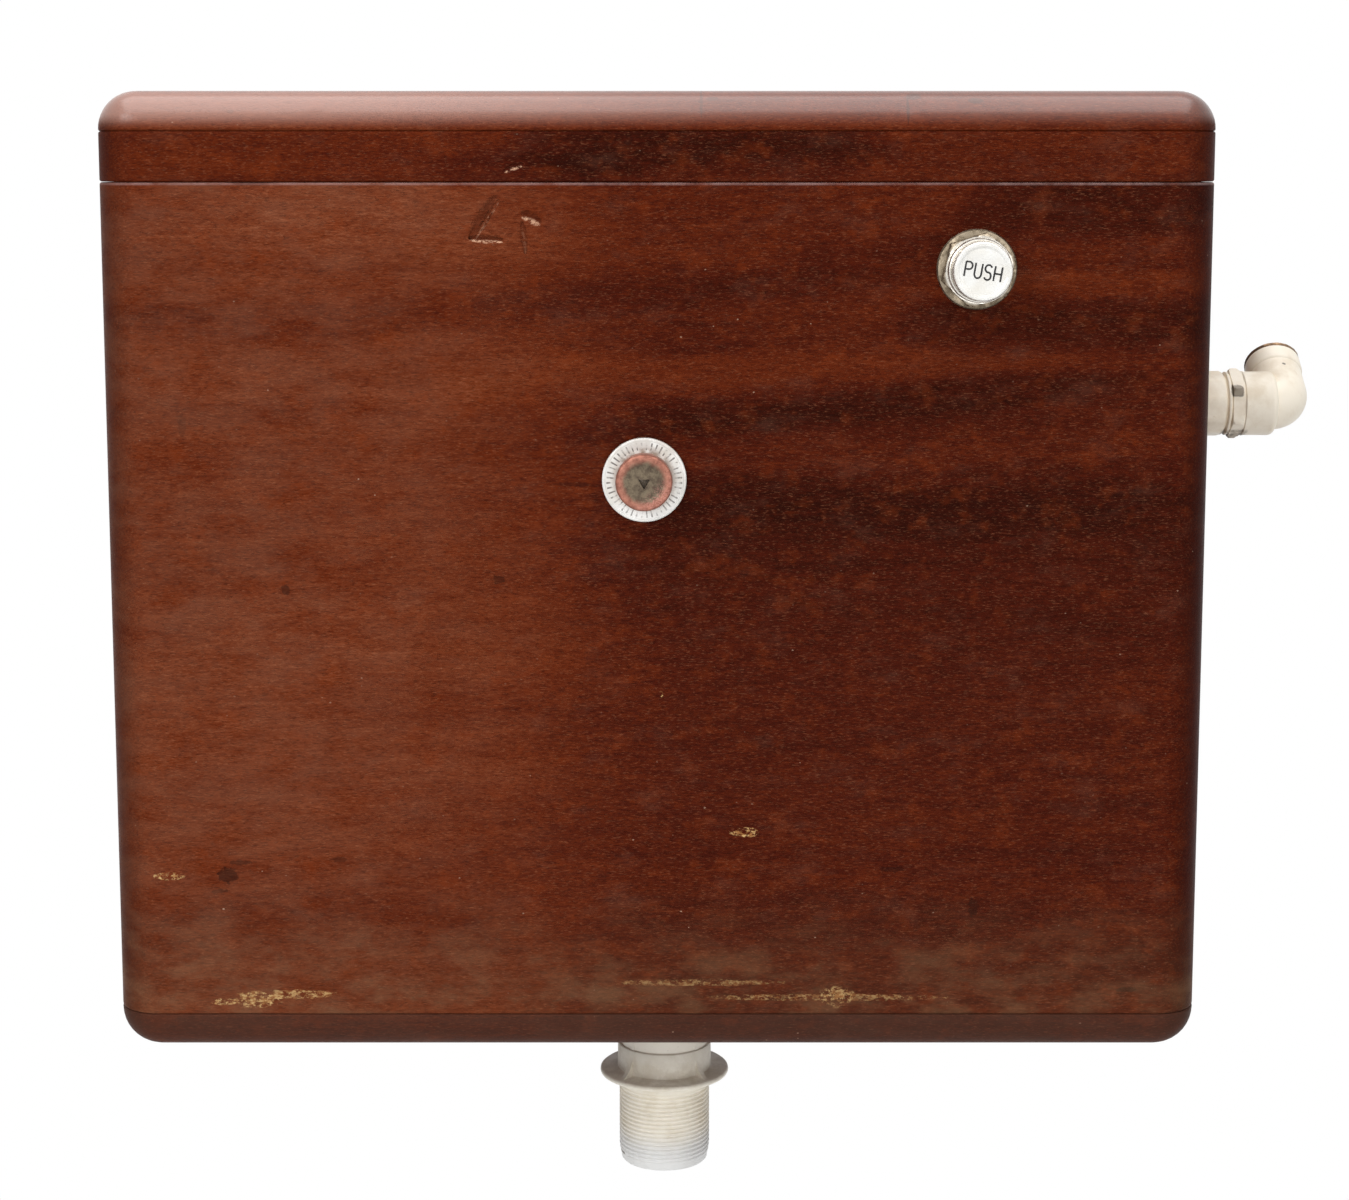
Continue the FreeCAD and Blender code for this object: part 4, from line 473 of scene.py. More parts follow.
def ring_marks(skin, colour):
    """Worn band of plain ticks inside a faint line, and brown stain round the boss."""
    angle, reach = round_place(skin, RING)
    wear = skin.noise(260.0, 3.0, 0.6)
    turn = angle * (TICKS / (2 * math.pi))
    part = skin.node("ShaderNodeMath", {"operation": "FRACT"}, {0: turn + 100.0})
    tick = abs(part - 0.5).steps(0.19, 0.11)
    tick = tick * reach.steps(RING_R - 0.0058, RING_R - 0.0053)
    tick = tick * reach.steps(RING_R - 0.0018, RING_R - 0.0023)
    lines = abs(reach - (RING_R - 0.0014)).steps(0.00022, 0.0001) * 0.25
    ink = tick.above(lines) * wear.steps(0.64, 0.42)
    stain_edge = reach + (wear - 0.5) * 0.004
    top = skin.axes()[2].steps(RING.z + 0.004, RING.z + 0.017)
    stain = stain_edge.steps(RING_R - 0.0035, RING_R - 0.0065) * 0.55 + top * 0.28
    colour = skin.mix(stain * wear.steps(0.3, 0.6), colour, srgb(126, 92, 58))
    return skin.mix(ink * 0.80, colour, srgb(60, 44, 34))


BOSS = middle("spindle_boss")
BOSS_FACE = box("spindle_boss")[0].y
BOSS_R = (box("spindle_boss")[1].x - box("spindle_boss")[0].x) / 2


def worn_boss(name):
    """Copper-red turned boss, its face rubbed grey-brown and its rim bright and red."""
    metal = Finish(name)
    _, reach = round_place(metal, BOSS)
    cloud = metal.noise(300.0, 4.0, 0.65)
    fine = metal.noise(1500.0, 3.0, 0.6)
    dish = (reach + (cloud - 0.5) * 0.004).steps(BOSS_R - 0.0022, BOSS_R - 0.0052)
    copper = metal.mix(cloud.steps(0.3, 0.7), srgb(178, 118, 98), srgb(128, 78, 62))
    brown = metal.mix(cloud.steps(0.35, 0.65), srgb(112, 98, 78), srgb(72, 58, 44))
    colour = metal.mix(dish, copper, brown)
    x, _, z = metal.axes()
    corner = (x - BOSS.x - (z - BOSS.z)).steps(0.004, 0.016)
    colour = metal.mix(corner * fine.steps(0.50, 0.62) * 0.8, colour, srgb(196, 134, 122))
    y = metal.axes()[1]
    whitish = y.steps(BOSS_FACE + 0.003, BOSS_FACE + 0.006) * cloud.steps(0.4, 0.6)
    colour = metal.mix(whitish * 0.5, colour, srgb(176, 160, 146))
    colour = metal.mix(fine.steps(0.55, 0.75) * 0.5, colour, srgb(50, 34, 26))
    metal.set(base_color=colour, metallic=0.45, roughness=0.5 + (cloud - 0.5) * 0.3,
              normal=metal.bump(cloud + fine * 0.4, 0.0006, 0.6))
    return metal.material


NUT_LOW, NUT_HIGH = box("elbow_union_nut")
NUT = (NUT_LOW + NUT_HIGH) / 2
ELBOW_HIGH = box("inlet_elbow")[1]


def chipped_paint(skin, colour):
    """Places where the cream paint has come off the elbow's fittings down to grey metal."""
    patch = (NUT_HIGH.x - 0.0046, NUT.z + 0.0080)
    bare = skin.blob(*patch, 0.0030, 0.0026, 0.25, 0.0, 420.0, 4.0)
    rim = skin.blob(patch[0] + 0.0005, patch[1] - 0.0006, 0.0032, 0.0028, 0.25, 0.0, 420.0, 4.0)
    dash = skin.blob(ELBOW_HIGH.x - 0.0125, NUT.z + 0.0200, 0.0011, 0.0005, 0.4, -0.2)
    colour = skin.mix(rim * 0.8, colour, srgb(70, 58, 46))
    colour = skin.mix(dash * 0.8, colour, srgb(70, 58, 46))
    foot = skin.axes()[2].steps(NUT_LOW.z + 0.0062, NUT_LOW.z + 0.0036)
    ragged = skin.noise(240.0, 3.0, 0.6)
    near = abs(skin.axes()[0] - NUT.x).steps(0.0075, 0.0060)
    bare = bare.above(foot * near * ragged.steps(0.36, 0.48))
    colour = skin.mix(bare * 0.95, colour, srgb(142, 130, 113))
    colour = skin.mix(foot * near * ragged.steps(0.56, 0.64), colour, srgb(38, 30, 24))
    # darker cream towards the bottom of the fittings
    darker_below = skin.axes()[2].steps(NUT.z + 0.004, NUT_LOW.z)
    return skin.mix(darker_below * 0.28, colour, srgb(186, 170, 146))


TAIL_LOW, TAIL_HIGH = box("outlet_tail")


def tail_ageing(skin, colour):
    """Cream above, whiter at the screwed end, dark specks, and brown dirt over the flange
    with painted shade where the pipe meets it.
    """
    z = skin.axes()[2]
    white_end = z.steps(TAIL_LOW.z + 0.024, TAIL_LOW.z + 0.008)
    colour = skin.mix(white_end * 0.8, colour, srgb(222, 222, 222))
    flaw = skin.blob(TAIL_LOW.x + 0.012, TAIL_LOW.z + 0.0045, 0.0012, 0.0006, 0.5)
    colour = skin.mix(flaw * 0.8, colour, srgb(96, 84, 70))
    flange = TAIL_LOW.z + 0.050
    dirt = skin.noise(150.0, 4.0, 0.7).steps(0.38, 0.62)
    # brown dirt with painted shade in the corner where the pipe meets the flange
    shade = z.steps(flange + 0.020, flange + 0.001) * z.steps(flange - 0.003, flange)
    colour = skin.mix(shade * (0.04 + dirt * 0.20), colour, srgb(146, 120, 86))
    specks = skin.noise(520.0, 2.0, 0.5).steps(0.70, 0.74)
    return skin.mix(specks * z.steps(flange + 0.014, flange + 0.018) * 0.6, colour,
                    srgb(74, 60, 46))


FRONT_BANDS = (
    # height, middle, half run, half thickness, slope, how much darker
    (-0.088, 0.130, 0.170, 0.060, 0.00, 0.15),
    (0.020, -0.160, 0.120, 0.010, 0.02, 0.15),
    (0.020, 0.210, 0.100, 0.015, 0.03, 0.22),
    (0.078, 0.215, 0.075, 0.016, 0.03, 0.20),
    (0.056, 0.105, 0.050, 0.008, 0.05, 0.12),
    (0.036, 0.020, 0.100, 0.008, 0.07, 0.14),
    (-0.021, 0.100, 0.150, 0.010, 0.10, 0.18),
    (-0.024, -0.190, 0.080, 0.007, 0.03, 0.10),
    (-0.072, 0.140, 0.150, 0.012, 0.02, 0.10),
    (-0.001, 0.080, 0.180, 0.010, 0.04, -0.13),
    (-0.044, 0.140, 0.150, 0.010, 0.03, -0.12),
    (0.040, 0.190, 0.080, 0.007, 0.03, -0.10),
    # painted sheen: this paler stretch at the upper left stands in for light from the left
    (0.070, -0.130, 0.100, 0.020, 0.00, -0.10),
    (-0.290, -0.180, 0.110, 0.030, 0.00, 0.10),
)

BUSH_LOW = box("button_bush")[0]

MAHOGANY_FRONT = mahogany("mahogany_front", "x", (0, 0, 0), (0.70, 0.42), FRONT_BANDS,
                          front_marks, gouges=FRONT_GOUGES)
# the lid's paler levels are painted light: they brighten the board towards its highlight from above
MAHOGANY_LID = mahogany("mahogany_lid", "x", (3.1, 1.2, 0.4), (0.72, 0.56), (), lid_marks)
MAHOGANY_RIM = mahogany("mahogany_rim", "x", (7.7, 0.3, 5.2), (0.53, 0.46), (
    (LID_LOW.z - 0.006, 0.02, 0.090, 0.014, 0.0, 0.26),
    (LID_LOW.z - 0.016, -0.06, 0.050, 0.008, 0.0, 0.12)), gouges=RIM_GOUGES)
MAHOGANY_BASE = mahogany("mahogany_base", "x", (2.7, 8.3, 1.2), (0.44, 0.32), (), base_grime)
MAHOGANY_SIDE = mahogany("mahogany_side", "y", (4.2, 0.7, 6.2), (0.5, 0.5), (), None, False)
DEAL = bare_deal("bare_deal")
CREAM_PAINT = moulding("cream_paint", srgb(241, 230, 212), srgb(208, 187, 157), 0.38,
                       chipped_paint)
TAIL_CREAM = moulding("tail_cream", srgb(236, 228, 213), srgb(212, 199, 175), 0.46,
                      tail_ageing)
TANK_WHITE = moulding("tank_white", srgb(222, 219, 208), srgb(178, 168, 146), 0.5)
NYLON = moulding("nylon", srgb(228, 226, 218), srgb(200, 194, 178), 0.4)
RUBBER = moulding("black_rubber", srgb(38, 37, 36), srgb(60, 58, 54), 0.7)
FLOAT_ORANGE = moulding("float_orange", srgb(196, 96, 44), srgb(150, 78, 44), 0.4)
BRASS = worn_metal("tarnished_brass", srgb(188, 152, 92), srgb(112, 86, 52), 0.34)
STEEL = worn_metal("dull_steel", srgb(150, 148, 144), srgb(96, 92, 86), 0.42)
NICKEL = worn_metal("worn_nickel", srgb(150, 137, 118), srgb(104, 92, 75), 0.40, 110.0, 600.0,
                    polished=(BUSH_LOW.y + 0.0060, BUSH_LOW.y + 0.0052))
RIM_BRASS = worn_metal("bare_rim", srgb(138, 112, 88), srgb(92, 70, 52), 0.45, 200.0)
CHINA = china("button_china")
CHINA_RING = china("ring_china", ring_marks)
BOSS_COPPER = worn_boss("worn_boss")
INK = moulding("black_enamel", srgb(24, 22, 22), srgb(44, 40, 38), 0.35)

SLOT_FINISHES = {
    "mahogany": MAHOGANY_SIDE, "deal": DEAL, "steel": STEEL, "tank_plastic": TANK_WHITE,
    "tail_plastic": TAIL_CREAM, "rubber": RUBBER, "brass": BRASS, "nickel": NICKEL,
    "china": CHINA, "boss_copper": BOSS_COPPER, "painted_fitting": CREAM_PAINT,
    "nylon": NYLON, "float_plastic": FLOAT_ORANGE,
}


def dress_nodes():
    """Gives every CAD node the finish of its slot."""
    for part in frame["record"]["subparts"]:
        mesh = frame["nodes"][part["node"]].data
        mesh.materials.clear()
        mesh.materials.append(SLOT_FINISHES[part["material_slot"]])


# ---- mesh helpers ---------------------------------------------------------------------
def finish_mesh(name, made, material, body, sharp=35.0):
    """Turns a bmesh into a piece: clean normals, smooth faces and sharp real edges."""
    bmesh.ops.remove_doubles(made, verts=made.verts, dist=1e-7)
    bmesh.ops.recalc_face_normals(made, faces=made.faces)
    for face in made.faces:
        face.smooth = True
    limit = math.radians(sharp)
    for edge in made.edges:
        edge.smooth = len(edge.link_faces) == 2 and edge.calc_face_angle(0) < limit
    mesh = bpy.data.meshes.new(name)
    made.to_mesh(mesh)
    made.free()
    mesh.materials.append(material)
    piece = bpy.data.objects.new(name, mesh)
    bpy.context.scene.collection.objects.link(piece)
    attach(piece, body)
    return piece


def skin_rings(made, rings, capped=False):
    """Joins rings of points with quads, and caps both ends where asked."""
    grid = [[made.verts.new(p) for p in ring] for ring in rings]
    count = len(grid[0])
    for lower, upper in zip(grid, grid[1:]):
        for i in range(count):
            j = (i + 1) % count
            made.faces.new((lower[i], lower[j], upper[j], upper[i]))
    if capped:
        made.faces.new(grid[0])
        made.faces.new(grid[-1])
    return grid


def frame_along(axis):
    """Two unit vectors square to an axis."""
    axis = Vector(axis).normalized()
    side = Vector((0, 0, 1)) if abs(axis.z) < 0.9 else Vector((1, 0, 0))
    first = (side - axis * side.dot(axis)).normalized()
    return first, axis.cross(first)


def turned(name, start, axis, profile, material, body, steps=96, flats=None,
           corners=6, turn=0.0, rough=0.0, seed=1, sharp=30.0):
    """Lathe work: profile of (along, radius, nut); where nut is 1 the flats cut the radius.
    The profile runs from one end round to the other and closes where its radius is 0."""
    random.seed(seed)
    made = bmesh.new()
    first, second = frame_along(axis)
    axis = Vector(axis).normalized()
    rings = []
    for along, radius, nut in profile:
        ring = []
        for i in range(steps):
            angle = 2 * math.pi * i / steps
            reach = radius
            if nut and flats:
                face = 2 * math.pi / corners
                off = (angle - turn) % face - face / 2
                reach = min(radius, flats / 2 / math.cos(off))
            reach = max(reach + random.uniform(-rough, rough), 0)
            ring.append(start + axis * along
                        + (first * math.cos(angle) + second * math.sin(angle)) * reach)
        rings.append(ring)
    grid = skin_rings(made, rings)
    for ring, (_, radius, _) in ((grid[0], profile[0]), (grid[-1], profile[-1])):
        if radius > 1e-6:
            made.faces.new(ring)
    return finish_mesh(name, made, material, body, sharp)


def arc(centre, radius, start, end, steps):
    """Round profile points (along, radius, nut) on a quarter-round, angles in degrees."""
    angles = [math.radians(start + (end - start) * i / steps) for i in range(steps + 1)]
    return [(centre[0] + radius * math.cos(a), centre[1] + radius * math.sin(a), 0)
            for a in angles]


def bored(piece, start, axis, length, radius):
    """Cuts a round hole through a piece."""
    made = bmesh.new()
    bmesh.ops.create_cone(made, cap_ends=True, segments=64, radius1=radius, radius2=radius,
                          depth=length)
    turn = Vector((0, 0, 1)).rotation_difference(Vector(axis))
    centre = start + Vector(axis) * length / 2
    made.transform(Matrix.Translation(centre) @ turn.to_matrix().to_4x4())
    mesh = bpy.data.meshes.new("drill")
    made.to_mesh(mesh)
    made.free()
    drill = bpy.data.objects.new("drill", mesh)
    bpy.context.scene.collection.objects.link(drill)
    cut = piece.modifiers.new("bore", "BOOLEAN")
    cut.operation = "DIFFERENCE"
    cut.solver = "EXACT"
    cut.object = drill
    result = bpy.data.meshes.new_from_object(
        piece.evaluated_get(bpy.context.evaluated_depsgraph_get()))
    piece.modifiers.clear()
    piece.data = result
    bpy.data.objects.remove(drill)
    return piece


# ---- case and lid boards --------------------------------------------------------------
CORNER_R = 0.021
LID_ROUND = 0.018
BASE_ROUND = 0.019
EASED = 0.0011
FRONT_STEP = 0.002


def board_outline(inset, back, step):
    """Plan of a board with rounded front corners, drawn in from the front and sides."""
    half = HALF_WIDTH - inset
    front = FRONT_FACE + inset
    radius = max(CORNER_R - inset, 0.0015)
    points = [Vector((-half, back, 0))]
    sides = max(int((back - front - radius) / 0.02), 1)
    for i in range(1, sides):
        points.append(Vector((-half, back + (front + radius - back) * i / sides, 0)))
    for i in range(15):
        angle = math.radians(180 + 90 * i / 14)
        points.append(Vector((-half + radius + radius * math.cos(angle),
                              front + radius + radius * math.sin(angle), 0)))
    count = int(round((2 * HALF_WIDTH - 2 * CORNER_R) / step))
    for i in range(1, count):
        x = -half + radius + (2 * half - 2 * radius) * i / count
        points.append(Vector((x, front, 0)))
    for i in range(15):
        angle = math.radians(270 + 90 * i / 14)
        points.append(Vector((half - radius + radius * math.cos(angle),
                              front + radius + radius * math.sin(angle), 0)))
    for i in range(1, sides):
        points.append(Vector((half, front + radius + (back - front - radius) * i / sides, 0)))
    points.append(Vector((half, back, 0)))
    return points


def eased_levels(low, high, step, low_round=EASED, high_round=EASED):
    """Heights and insets from a board's foot to its top, with both edges rounded over."""
    turns = 10 if low_round > 0.005 else 4
    levels = [(low + low_round * (1 - math.cos(math.pi / 2 * i / turns)),
               low_round * (1 - math.sin(math.pi / 2 * i / turns))) for i in range(turns + 1)]
    rows = max(int((high - high_round - low - low_round) / step), 1)
    for i in range(1, rows):
        levels.append((low + low_round + (high - high_round - low - low_round) * i / rows, 0.0))
    turns = 12 if high_round > 0.005 else 4
    for i in range(turns + 1):
        angle = math.pi / 2 * i / turns
        levels.append((high - high_round + high_round * math.sin(angle),
                       high_round * (1 - math.cos(angle))))
    return levels


def case_board(name, node, material, step, rounds=(EASED, EASED), dents=(), body="case"):
    """One board of the case or lid, with its rounded corners and its knocks."""
    low, high = box(node)
    made = bmesh.new()
    rings = []
    for z, inset in eased_levels(low.z, high.z, step, *rounds):
        rings.append([Vector((p.x, p.y, z)) for p in board_outline(inset, high.y, step)])
    skin_rings(made, rings, True)
    for vert in made.verts:
        if vert.co.y < FRONT_FACE + 0.012:
            vert.co.y += sum(dent_depth(vert.co, d) for d in dents)
    piece = finish_mesh(name, made, material, body, 40.0)
    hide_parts(node)
    return piece


def dent_depth(point, dent):
    """How far one knock pushes a point in: a soft-edged groove at an angle."""
    x, z, half_long, half_wide, depth, angle = dent
    dx = point.x - x
    dz = point.z - z
    along = (dx * math.cos(angle) + dz * math.sin(angle)) / half_long
    across = (dz * math.cos(angle) - dx * math.sin(angle)) / half_wide
    return depth * math.exp(-(along ** 4 + across ** 2))


def make_boards():
    low = FRONT_LOW.z
    knocks = (
        (-0.198, low + 0.005, 0.0150, 0.0040, 0.0008, 0.05),
        (0.042, low + 0.092, 0.0045, 0.0020, 0.0006, -0.2),
        (-0.213, low + 0.072, 0.0055, 0.0045, 0.0003, 0.0),
        (-0.190, FRONT_HIGH.z - 0.001, 0.0100, 0.0022, 0.0014, 0.0),
    )
    front = case_board("case_front_board", "front_panel", MAHOGANY_FRONT, FRONT_STEP,
                       dents=knocks)
    for node, spare in (("button_bush", 0.0122), ("spindle_bush", 0.0092)):
        at = middle(node)
        bored(front, Vector((at.x, FRONT_FACE - 0.01, at.z)), (0, 1, 0), 0.05, spare)
    base = case_board("case_base_board", "bottom_board", MAHOGANY_BASE, 0.004,
                      rounds=(BASE_ROUND, EASED))
    tail = middle("outlet_tail")
    bored(base, Vector((tail.x, tail.y, base.bound_box[0][2] - 0.01)), (0, 0, 1), 0.05, 0.033)
    sunk_screws()
    nicks = ((0.021, LID_HIGH.z - 0.006, 0.0060, 0.0012, 0.0008, 1.5),
             (0.118, LID_HIGH.z - 0.008, 0.0060, 0.0014, 0.0009, 1.45),
             (-0.160, LID_HIGH.z - 0.012, 0.0040, 0.0015, 0.0004, 0.1))
    case_board("lid_top", "lid_top_board", MAHOGANY_LID, 0.003, rounds=(EASED, LID_ROUND),
               dents=nicks, body="lid")
    case_board("lid_front_rim", "lid_front_rail", MAHOGANY_RIM, 0.003, body="lid")


def screw_places(node):
    """Middles of a node's screw heads, from the points of its lowest faces."""
    low, _ = box(node)
    heads = []
    for vert in frame["nodes"][node].data.vertices:
        point = Vector((vert.co.x, vert.co.y))
        if vert.co.z > low.z + 0.0001:
            continue
        near = [h for h in heads if (h[0] - point).length < 0.010]
        if near:
            near[0].append(point)
        else:
            heads.append([point])
    return [sum(h, Vector((0, 0))) / len(h) for h in heads]


def sunk_screws():
    """Screws of the base board, their heads sunk in the wood clear of its rounded edge."""
    level = box("bottom_screws")[0].z
    head = 0.0040
    deep = 0.0022
    for index, place in enumerate(screw_places("bottom_screws")):
        foot = Vector((place.x, place.y, level))
        profile = [(deep, 0.0, 0), (deep, head - 0.0003, 0), (deep + 0.0002, head, 0),
                   (deep + 0.0026, 0.0019, 0), (0.020, 0.0019, 0), (0.024, 0.0, 0)]
        screw = turned("bottom_screw_%d" % index, foot, (0, 0, 1), profile, STEEL, "case",
                       32)
        if index == 0:
            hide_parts("bottom_screws")


# ---- push button ----------------------------------------------------------------------
def make_button():
    low, high = box("button_bush")
    centre = middle("button_bush")
    start = Vector((centre.x, FRONT_FACE, centre.z))
    cup_low, cup_high = box("button_cup")
    collar = FRONT_FACE - low.y
    radius = (high.x - low.x) / 2
    cup_r = (cup_high.x - cup_low.x) / 2
    bore = cup_r + 0.00005
    hex_from = 0.0031
    hex_to = collar - 0.0055
    flats = 0.0312
    corner = 0.0179
    collar_r = 0.015
    profile = [(-0.0285, 0.0041, 0), (-0.0285, 0.0118, 0), (-0.0280, 0.0120, 0),
               (0.0, 0.0120, 0), (0.0, radius - 0.0002, 0), (0.0004, radius, 0),
               (0.0014, radius, 0), (0.0024, radius - 0.0006, 0), (0.0029, radius - 0.0018, 0),
               (hex_from, corner - 0.0008, 1), (hex_from + 0.0006, corner, 1),
               (hex_to - 0.0014, corner, 1), (hex_to - 0.0006, corner - 0.0009, 1),
               (hex_to, corner - 0.0022, 1), (hex_to + 0.0001, collar_r + 0.0002, 0),
               (hex_to + 0.0010, collar_r, 0), (collar - 0.0008, collar_r, 0),
               (collar - 0.0002, collar_r - 0.0003, 0), (collar, collar_r - 0.0008, 0),
               (collar - 0.0002, bore, 0), (0.0030, bore, 0), (0.0030, 0.0070, 0),
               (-0.0150, 0.0070, 0), (-0.0150, 0.0041, 0), (-0.0285, 0.0041, 0)]
    bush = turned("button_bush_turned", start, (0, -1, 0), profile, NICKEL, "case",
                  144, flats, 6, math.radians(47), 0.00003, 4)
    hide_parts("button_bush")

    deep = 0.0120
    face = cup_low.y
    rim = cup_r - 0.0003
    cup = [(-deep, 0.0, 0), (-deep, cup_r - 0.0004, 0), (-deep + 0.0004, cup_r, 0),
           (-0.0008, cup_r, 0)]
    cup += arc((-0.0008, cup_r - 0.0008), 0.0008, 90, 0, 5)
    cup += [(0.0, rim, 0), (-0.0036, rim, 0), (-0.0036, 0.0, 0)]
    turned("button_cup_turned", Vector((centre.x, face, centre.z)), (0, -1, 0), cup, NICKEL,
           "press_button", 96, rough=0.00001)
    stem_low = Vector((centre.x, face + deep, centre.z))
    stem_long = cup_high.y - stem_low.y
    stem = [(-0.0005, 0.0, 0), (-0.0005, 0.0040, 0), (stem_long - 0.0006, 0.0040, 0),
            (stem_long, 0.0034, 0), (stem_long, 0.0, 0)]
    stem_piece = turned("button_stem", stem_low, (0, 1, 0), stem, NICKEL, "press_button",
                        48)
    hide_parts("button_cup")

    profile = [(-0.0036, 0.0, 0), (-0.0036, rim - 0.00006, 0), (0.0, rim - 0.00006, 0)]
    proud = cup_low.y - box("button_china")[0].y
    lip = proud * 0.8
    profile += arc((proud - lip, rim - 0.00006 - lip), lip, 90, 10, 6)
    profile.append((proud, DISH_R + 0.0004, 0))
    for i in range(13):
        radius = DISH_R * (1 - i / 12)
        profile.append((dish(radius, proud), radius, 0))
    disc = turned("button_china_disc", Vector((centre.x, face, centre.z)), (0, -1, 0), profile,
                  CHINA, "press_button", 96, sharp=50)
    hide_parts("button_china")
    write_push(Vector((centre.x, face, centre.z)), proud)


SPRING_WIRE_R = 0.0006
SPRING_TURNS = 6


def make_spring():
    """Return spring of the button, coiled in the bush's pocket at its full length."""
    low, high = box("button_spring")
    centre = middle("button_spring")
    radius = (high.x - low.x) / 2 - SPRING_WIRE_R
    start = low.y + SPRING_WIRE_R
    run = high.y - low.y - 2 * SPRING_WIRE_R
    per_turn = 32
    made = bmesh.new()
    rings = []
    for i in range(SPRING_TURNS * per_turn + 1):
        angle = 2 * math.pi * i / per_turn
        outward = Vector((math.cos(angle), 0, math.sin(angle)))
        along = start + run * i / (SPRING_TURNS * per_turn)
        point = Vector((centre.x, along, centre.z)) + outward * radius
        rings.append([point + (outward * math.cos(a) + Vector((0, math.sin(a), 0)))
                      * SPRING_WIRE_R for a in (math.pi / 4 * k for k in range(8))])
    skin_rings(made, rings, True)
    spring = finish_mesh("button_return_spring", made, STEEL, "case")
    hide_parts("button_spring")
    press = next(j for j in frame["joints"] if j["name"] == "button_press")["range_m"][1]
    (high.y - low.y - press) / (high.y - low.y)
    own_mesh(spring)


DISH_R = 0.0113


def dish(radius, proud):
    """How proud the dished china face stands at one radius."""
    if radius > DISH_R:
        return proud
    return proud - 0.0004 - 0.0010 * (1 - (radius / DISH_R) ** 2)


LETTER_HIGH = 0.0069
LETTER_WIDE = 0.0032
LETTER_GAP = 0.0014
LETTER_SLOPE = -9.7


def letter_strokes():
    """The word PUSH as strokes on a unit grid, one letter after another."""
    def bend(cx, cy, rx, ry, start, end):
        return [(cx + rx * math.cos(math.radians(start + (end - start) * i / 14)),
                 cy + ry * math.sin(math.radians(start + (end - start) * i / 14)))
                for i in range(15)]
    letter_p = [[(0, 0), (0, 1)], [(0, 1), (0.5, 1)] + bend(0.5, 0.75, 0.5, 0.25, 90, -90)
            + [(0, 0.5)]]
    letter_u = [[(0, 1), (0, 0.3)] + bend(0.5, 0.3, 0.5, 0.3, 180, 360) + [(1, 1)]]
    letter_s = [bend(0.5, 0.75, 0.48, 0.25, 25, 262) + bend(0.5, 0.25, 0.48, 0.26, 80, -155)]
    letter_h = [[(0, 0), (0, 1)], [(1, 0), (1, 1)], [(0, 0.5), (1, 0.5)]]
    return (letter_p, letter_u, letter_s, letter_h)


def write_push(centre, proud):
    """Enamelled strokes that lie on the dished china."""
    made = bmesh.new()
    width = 4 * LETTER_WIDE + 3 * LETTER_GAP
    slope = math.radians(LETTER_SLOPE)
    half = 0.00042
    for index, letter in enumerate(letter_strokes()):
        left = -width / 2 + index * (LETTER_WIDE + LETTER_GAP)
        for stroke in letter:
            points = [Vector((left + u * LETTER_WIDE, (v - 0.5) * LETTER_HIGH, 0))
                      for u, v in stroke]
            lay_stroke(made, subdivided(points, 0.0004), half, slope, centre, proud)
    finish_mesh("button_word", made, INK, "press_button", 30.0)


def subdivided(points, step):
    """The same line with no two points further apart than a step."""
    out = [points[0]]
    for a, b in zip(points, points[1:]):
        count = max(int(math.ceil((b - a).length / step)), 1)
        out += [a.lerp(b, i / count) for i in range(1, count + 1)]
    return [p for i, p in enumerate(out) if i == 0 or (p - out[i - 1]).length > 1e-6]


def lay_stroke(made, line, half, slope, centre, proud):
    """Flat bar along a line on the china, its ends square."""
    rings = []
    for i, point in enumerate(line):
        ahead = line[min(i + 1, len(line) - 1)] - line[max(i - 1, 0)]
        side = Vector((-ahead.y, ahead.x, 0)).normalized() * half
        ring = []
        for offset, lift in ((side, -0.00005), (side, 0.00005), (-side, 0.00005),
                             (-side, -0.00005)):
            p = point + offset
            x = p.x * math.cos(slope) - p.y * math.sin(slope)
            z = p.x * math.sin(slope) + p.y * math.cos(slope)
            reach = math.hypot(x, z)
            ring.append(Vector((centre.x + x, centre.y - dish(reach, proud) - lift,
                                centre.z + z)))
        rings.append(ring)
    skin_rings(made, rings, True)


